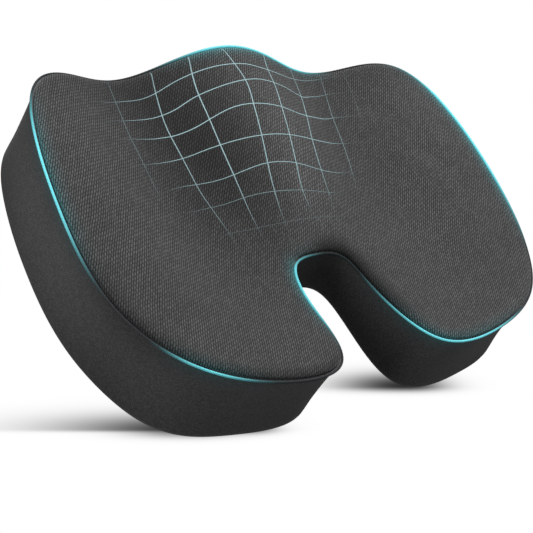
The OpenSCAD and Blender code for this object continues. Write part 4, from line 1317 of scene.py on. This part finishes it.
# stitches that hold the fold of the grip
shapes = []
x = -39.6
while x <= 38:
    k = 1 - ((x + 1.2) / 48) ** 2
    off = 5 + 6 * k + (1.5 + 0.7 * k)
    ht = 1.5 + 0.7 * k
    hh = 4.5 + 2 * k
    z = HANDLE_Z - hh * 0.52
    pts = []
    for xx in (x, x + 2.4):
        kk = 1 - (xx / 48) ** 2
        ca = 0.86
        pts.append([xx, FLAT_Y - (5 + 6 * kk + 1.5 + 0.7 * kk) - (1.5 + 0.7 * kk) * ca ** 0.7 - 0.02, z])
    shapes.append(stitch(pts[0], pts[1], 0.27, sag=0.3))
    x += 3.4
v, f = many(shapes)
build("handle_grip_stitches", v, f, None, body="handle", mat=MAT_THREAD, angle=60)


# box stitches on the sewn ends, on the places the CAD gives them
def along(a, b, p, l):
    a, b = np.array(a, float), np.array(b, float)
    d = np.linalg.norm(b - a)
    k = int(d // p)
    out = []
    for i in range(k):
        t0 = (i + 0.5) * d / k - l / 2
        out.append((a + (b - a) * t0 / d, a + (b - a) * (t0 + l) / d))
    return out


shapes = []
for sgn in (-1, 1):
    o = np.array([sgn * (HANDLE_END - 14), HANDLE_Z])
    w_, h_ = 10, 9
    q = [o + [-w_, -h_], o + [w_, -h_], o + [w_, h_], o + [-w_, h_]]
    segs = (along(q[0], q[1], 3.3, 2.5) + along(q[1], q[2], 3.3, 2.5) + along(q[2], q[3], 3.3, 2.5) + along(q[3], q[0], 3.3, 2.5)
            + along(q[0] + [2, 2], o - [1.6, 1.4], 3.3, 2.5) + along(o + [1.6, 1.4], q[2] - [2, 2], 3.3, 2.5)
            + along(q[1] + [-2, 2], o + [1.6, -1.4], 3.3, 2.5) + along(o + [-1.6, 1.4], q[3] + [2, -2], 3.3, 2.5))
    for a, b in segs:
        pa, pb = front_pt(np.array([a[0]]), np.array([a[1]]), -2.05)[0], front_pt(np.array([b[0]]), np.array([b[1]]), -2.05)[0]
        shapes.append(stitch(pa, pb, 0.28))
v, f = many(shapes)
build("handle_box_stitches", v, f, None, replaces=["handle_stitching"], mat=MAT_THREAD, angle=60)

# ---------------------------------------------------------------- grip dots and label
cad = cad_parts["grip_dots"]
pts = np.array([vv.co[:] for vv in cad.data.vertices]) * 1000
kd = KDTree(len(pts))
for i, p in enumerate(pts):
    kd.insert((p[0], p[1], 0), i)
kd.balance()
dot = [(0, 0.10), (1.0, 0.04), (2.0, 0.0), (2.55, 0.05), (2.95, 0.2), (3.2, 0.42), (3.36, 0.7), (3.4, 0.98), (0, 0.98)]
dv, df = lathe(dot, 24)
shapes = []
for i in range(-12, 13):
    for k in range(-16, 17):
        x, y = 26 * (k + (0 if i % 2 == 0 else 0.5)), 26 * 0.866 * i
        if kd.find((x, y, 0))[2] < 3.7:
            shapes.append((dv + np.array([x, y, 0]), df))
v, f = many(shapes)
build("grip_dots_silicone", v, f, None, replaces=["grip_dots"], mat=MAT_RUBBER, angle=50)

X, Y = np.meshgrid(np.linspace(-104, -52, 40), np.linspace(-119, -89, 24), indexing="ij")
e = np.minimum(np.minimum(X + 104, -52 - X), np.minimum(Y + 119, -89 - Y))
sag = 0.06 * np.sin(X / 6) * np.sin(Y / 7)
low = np.stack([X, Y, 0.66 + sag * (1 - np.exp(-(e / 3) ** 2)) + 0.08 * np.exp(-(e / 0.8) ** 2)], -1)
high = np.stack([X, Y, np.full_like(X, 0.94)], -1)
v, f, at = Sheet().grid(low, high, uv=np.stack([X, Y], -1)).closed()
build("care_label_blank", v, f, at, replaces=["care_label"], mat=MAT_LABEL)
shapes = []
for x in (-102.4, -53.6):
    y = -117.5
    while y < -92:
        shapes.append(stitch([x, y, 0.72], [x, y + 2.0, 0.72], 0.2, lift=(0, 0, -1), sag=0.22))
        y += 2.9
v, f = many(shapes)
build("care_label_stitches", v, f, None, mat=MAT_THREAD_LIGHT, angle=60)

# ---------------------------------------------------------------- camera
CAM_AZ, CAM_EL, CAM_ROLL, CAM_D, CAM_F, CAM_X, CAM_Y = 57.67, 42.32, 37.30, 986.2, 1173.5, 14.06, -32.71
a, e, r = np.radians([CAM_AZ, CAM_EL, CAM_ROLL])
back = np.array([math.sin(a) * math.cos(e), math.cos(a) * math.cos(e), math.sin(e)])
fwd = -back
right = np.cross(fwd, [0, 0, 1])
right /= np.linalg.norm(right)
up = np.cross(right, fwd)
right2 = math.cos(r) * right + math.sin(r) * up
up2 = -math.sin(r) * right + math.cos(r) * up
loc = (np.array([0, 0, 35.0]) - (CAM_X * right2 - CAM_Y * up2 + CAM_D * fwd)) * MM
cam = bpy.data.cameras.new("camera")
cam.sensor_fit = "HORIZONTAL"
cam.sensor_width = 36
cam.lens = CAM_F / 533 * 36
cam.clip_start, cam.clip_end = 0.01, 100
cam_ob = bpy.data.objects.new("camera", cam)
scene.collection.objects.link(cam_ob)
rot = Matrix([[right2[i], up2[i], -fwd[i]] for i in range(3)])
cam_ob.matrix_world = Matrix.Translation(Vector(loc)) @ rot.to_4x4()
scene.camera = cam_ob

# ---------------------------------------------------------------- stage
scene.view_settings.view_transform = "Standard"
scene.view_settings.look = "None"
scene.view_settings.exposure = 0
scene.view_settings.gamma = 1

AMBIENT = 0.30
world = bpy.data.worlds.new("studio")
scene.world = world
world.use_nodes = True
nt = world.node_tree
nt.nodes.clear()
o_ = nt.nodes.new("ShaderNodeOutputWorld")
mx = nt.nodes.new("ShaderNodeMixShader")
lp = nt.nodes.new("ShaderNodeLightPath")
b1, b2 = nt.nodes.new("ShaderNodeBackground"), nt.nodes.new("ShaderNodeBackground")
b1.inputs[0].default_value, b1.inputs[1].default_value = (0.97, 0.985, 1, 1), AMBIENT
b2.inputs[0].default_value, b2.inputs[1].default_value = (1, 1, 1, 1), 1.0
nt.links.new(lp.outputs["Is Camera Ray"], mx.inputs[0])
nt.links.new(b1.outputs[0], mx.inputs[1])
nt.links.new(b2.outputs[0], mx.inputs[2])
nt.links.new(mx.outputs[0], o_.inputs[0])


def floor_material(name, r0, r1):
    m = bpy.data.materials.new(name)
    m.use_nodes = True
    t = m.node_tree
    t.nodes.clear()
    out = t.nodes.new("ShaderNodeOutputMaterial")
    add = t.nodes.new("ShaderNodeAddShader")
    dif = t.nodes.new("ShaderNodeBsdfDiffuse")
    em = t.nodes.new("ShaderNodeEmission")
    tc = t.nodes.new("ShaderNodeTexCoord")
    nz = t.nodes.new("ShaderNodeTexNoise")
    nz.inputs["Scale"].default_value = 3
    rp = t.nodes.new("ShaderNodeMapRange")
    rp.inputs["To Min"].default_value, rp.inputs["To Max"].default_value = 0.80, 0.84
    t.links.new(tc.outputs["Object"], nz.inputs["Vector"])
    t.links.new(nz.outputs[0], rp.inputs["Value"])
    t.links.new(rp.outputs[0], dif.inputs["Color"])
    em.inputs[1].default_value = 0.25
    t.links.new(dif.outputs[0], add.inputs[0])
    t.links.new(em.outputs[0], add.inputs[1])
    # the floor runs out into plain white
    ln = t.nodes.new("ShaderNodeVectorMath")
    ln.operation = "LENGTH"
    t.links.new(tc.outputs["Object"], ln.inputs[0])
    far = t.nodes.new("ShaderNodeMapRange")
    far.interpolation_type = "SMOOTHSTEP"
    far.inputs["From Min"].default_value, far.inputs["From Max"].default_value = r0, r1
    t.links.new(ln.outputs["Value"], far.inputs["Value"])
    white = t.nodes.new("ShaderNodeEmission")
    mix = t.nodes.new("ShaderNodeMixShader")
    t.links.new(far.outputs[0], mix.inputs[0])
    t.links.new(add.outputs[0], mix.inputs[1])
    t.links.new(white.outputs[0], mix.inputs[2])
    t.links.new(mix.outputs[0], out.inputs[0])
    return m


def floor(name, centre, normal, size, r0, r1):
    me = bpy.data.meshes.new(name)
    n = 48
    t = np.arange(n) * 2 * np.pi / n
    me.from_pydata([(size * math.cos(k), size * math.sin(k), 0) for k in t], [], [list(range(n))])
    me.materials.append(floor_material(name, r0, r1))
    ob = bpy.data.objects.new(name, me)
    scene.collection.objects.link(ob)
    z = Vector(normal).normalized()
    ob.rotation_mode = "QUATERNION"
    ob.rotation_quaternion = z.to_track_quat("Z", "Y")
    ob.location = centre
    return ob


level = floor("floor_level", (0, 0, -0.0002), (0, 0, 1), 4.0, 0.45, 1.1)

# the photograph shows the cushion stood up on its two rear lobes; that camera gets a floor under them
ring_u = np.linspace(0, L, 1200)
low_pts = np.concatenate([foot(ring_u, 0 * ring_u + q_) for q_ in (0, 30, 60, 90)] + [wall(ring_u, 0 * ring_u + z_) for z_ in (12, 20, 30, 45)])
lobe_p, lobe_m = low_pts[low_pts[:, 0] > 0], low_pts[low_pts[:, 0] < 0]


def support(n):
    return (lobe_p @ n).min() - (lobe_m @ n).min()


lo_t, hi_t = 0.0, math.radians(60)
for _ in range(60):
    mid_t = (lo_t + hi_t) / 2
    n_g = math.cos(mid_t) * up2 + math.sin(mid_t) * back
    if support(n_g) * support(math.cos(lo_t) * up2 + math.sin(lo_t) * back) <= 0:
        hi_t = mid_t
    else:
        lo_t = mid_t
n_g = math.cos(mid_t) * up2 + math.sin(mid_t) * back
touch = low_pts[(low_pts @ n_g).argmin()]
print("FLOOR tilt", math.degrees(mid_t), "normal", n_g, "touch", touch)
tilted = floor("floor_photo", Vector(touch * MM) - Vector(n_g) * 0.0005, tuple(n_g), 3.0, 0.30, 0.55)
tilted.visible_diffuse = tilted.visible_glossy = tilted.visible_shadow = False


def contact_material(toward, across, spots):
    """white ground with soft shade where the cushion stands; each spot is given in mm beside a foot"""
    m = Mat("photo_ground")
    m.t.nodes.remove(m.p)
    em = m.node("ShaderNodeEmission")
    m.t.links.new(em.outputs[0], m.out.inputs[0])
    pos = m.node("ShaderNodeNewGeometry").outputs["Position"]

    def along(axis, at):
        rel = m.node("ShaderNodeVectorMath", {0: pos, 1: tuple(at * MM)}, operation="SUBTRACT").outputs[0]
        return m.math("MULTIPLY", m.node("ShaderNodeVectorMath", {0: rel, 1: tuple(axis)}, operation="DOT_PRODUCT").outputs["Value"], 1000.0)

    def fall(v, c, lo, hi):
        p = m.math("DIVIDE", m.math("MAXIMUM", m.math("SUBTRACT", v, c), 0.0), hi)
        q = m.math("DIVIDE", m.math("MAXIMUM", m.math("SUBTRACT", c, v), 0.0), lo)
        return m.math("EXPONENT", m.math("MULTIPLY", m.math("ADD", m.math("MULTIPLY", p, p), m.math("MULTIPLY", q, q)), -1.0))

    light = None
    for at, dark, (ca, a_lo, a_hi), (ct, t_lo, t_hi) in spots:
        shade = m.math("MULTIPLY", fall(along(across, at), ca, a_lo, a_hi), fall(along(toward, at), ct, t_lo, t_hi))
        rest = m.math("MULTIPLY_ADD", shade, -dark, 1.0)
        light = rest if light is None else m.math("MULTIPLY", light, rest)
    m.t.links.new(m.math("POWER", light, 2.2), em.inputs["Color"])
    return m.m


toward = np.array(back) - n_g * float(np.dot(back, n_g))
toward /= np.linalg.norm(toward)
across = np.cross(toward, n_g)
foot_p, foot_m = lobe_p[(lobe_p @ n_g).argmin()], lobe_m[(lobe_m @ n_g).argmin()]
tilted.data.materials.clear()
tilted.data.materials.append(contact_material(toward, across, [
    (foot_p, 0.50, (70, 45, 80), (3, 31, 5)),
    (foot_p, 0.20, (90, 60, 105), (0, 38, 8)),
    (foot_p, 0.50, (62, 35, 42), (8, 25, 13)),
    (foot_p, 0.45, (15, 18, 30), (4, 12, 9)),
    (foot_m, 0.80, (18.6, 32, 53), (4, 36, 14))]))

for ob, expr in ((level, "{} < 0.004"), (tilted, "{} >= 0.004")):
    fc = ob.driver_add("hide_render")
    drv = fc.driver
    drv.type = "SCRIPTED"
    for nm, ch in (("x", "LOC_X"), ("y", "LOC_Y"), ("z", "LOC_Z")):
        var = drv.variables.new()
        var.name = nm
        var.type = "TRANSFORMS"
        var.targets[0].id = cam_ob
        var.targets[0].transform_type = ch
        var.targets[0].transform_space = "WORLD_SPACE"
    drv.expression = expr.format(f"(abs(x - {loc[0]:.5f}) + abs(y - {loc[1]:.5f}) + abs(z - {loc[2]:.5f}))")


def area(name, at, look, size, power, colour=(1, 1, 1)):
    d = bpy.data.lights.new(name, "AREA")
    d.shape = "DISK"
    d.size = size
    d.energy = power
    d.color = colour
    o = bpy.data.objects.new(name, d)
    scene.collection.objects.link(o)
    o.location = at
    o.rotation_mode = "QUATERNION"
    o.rotation_quaternion = (Vector(look) - Vector(at)).to_track_quat("-Z", "Y")
    return o


area("key", (-0.62, -0.85, 1.70), (0, 0, 0.05), 1.2, 60)
area("side", (1.8, -0.15, 0.50), (0, 0, 0.04), 1.2, 24)
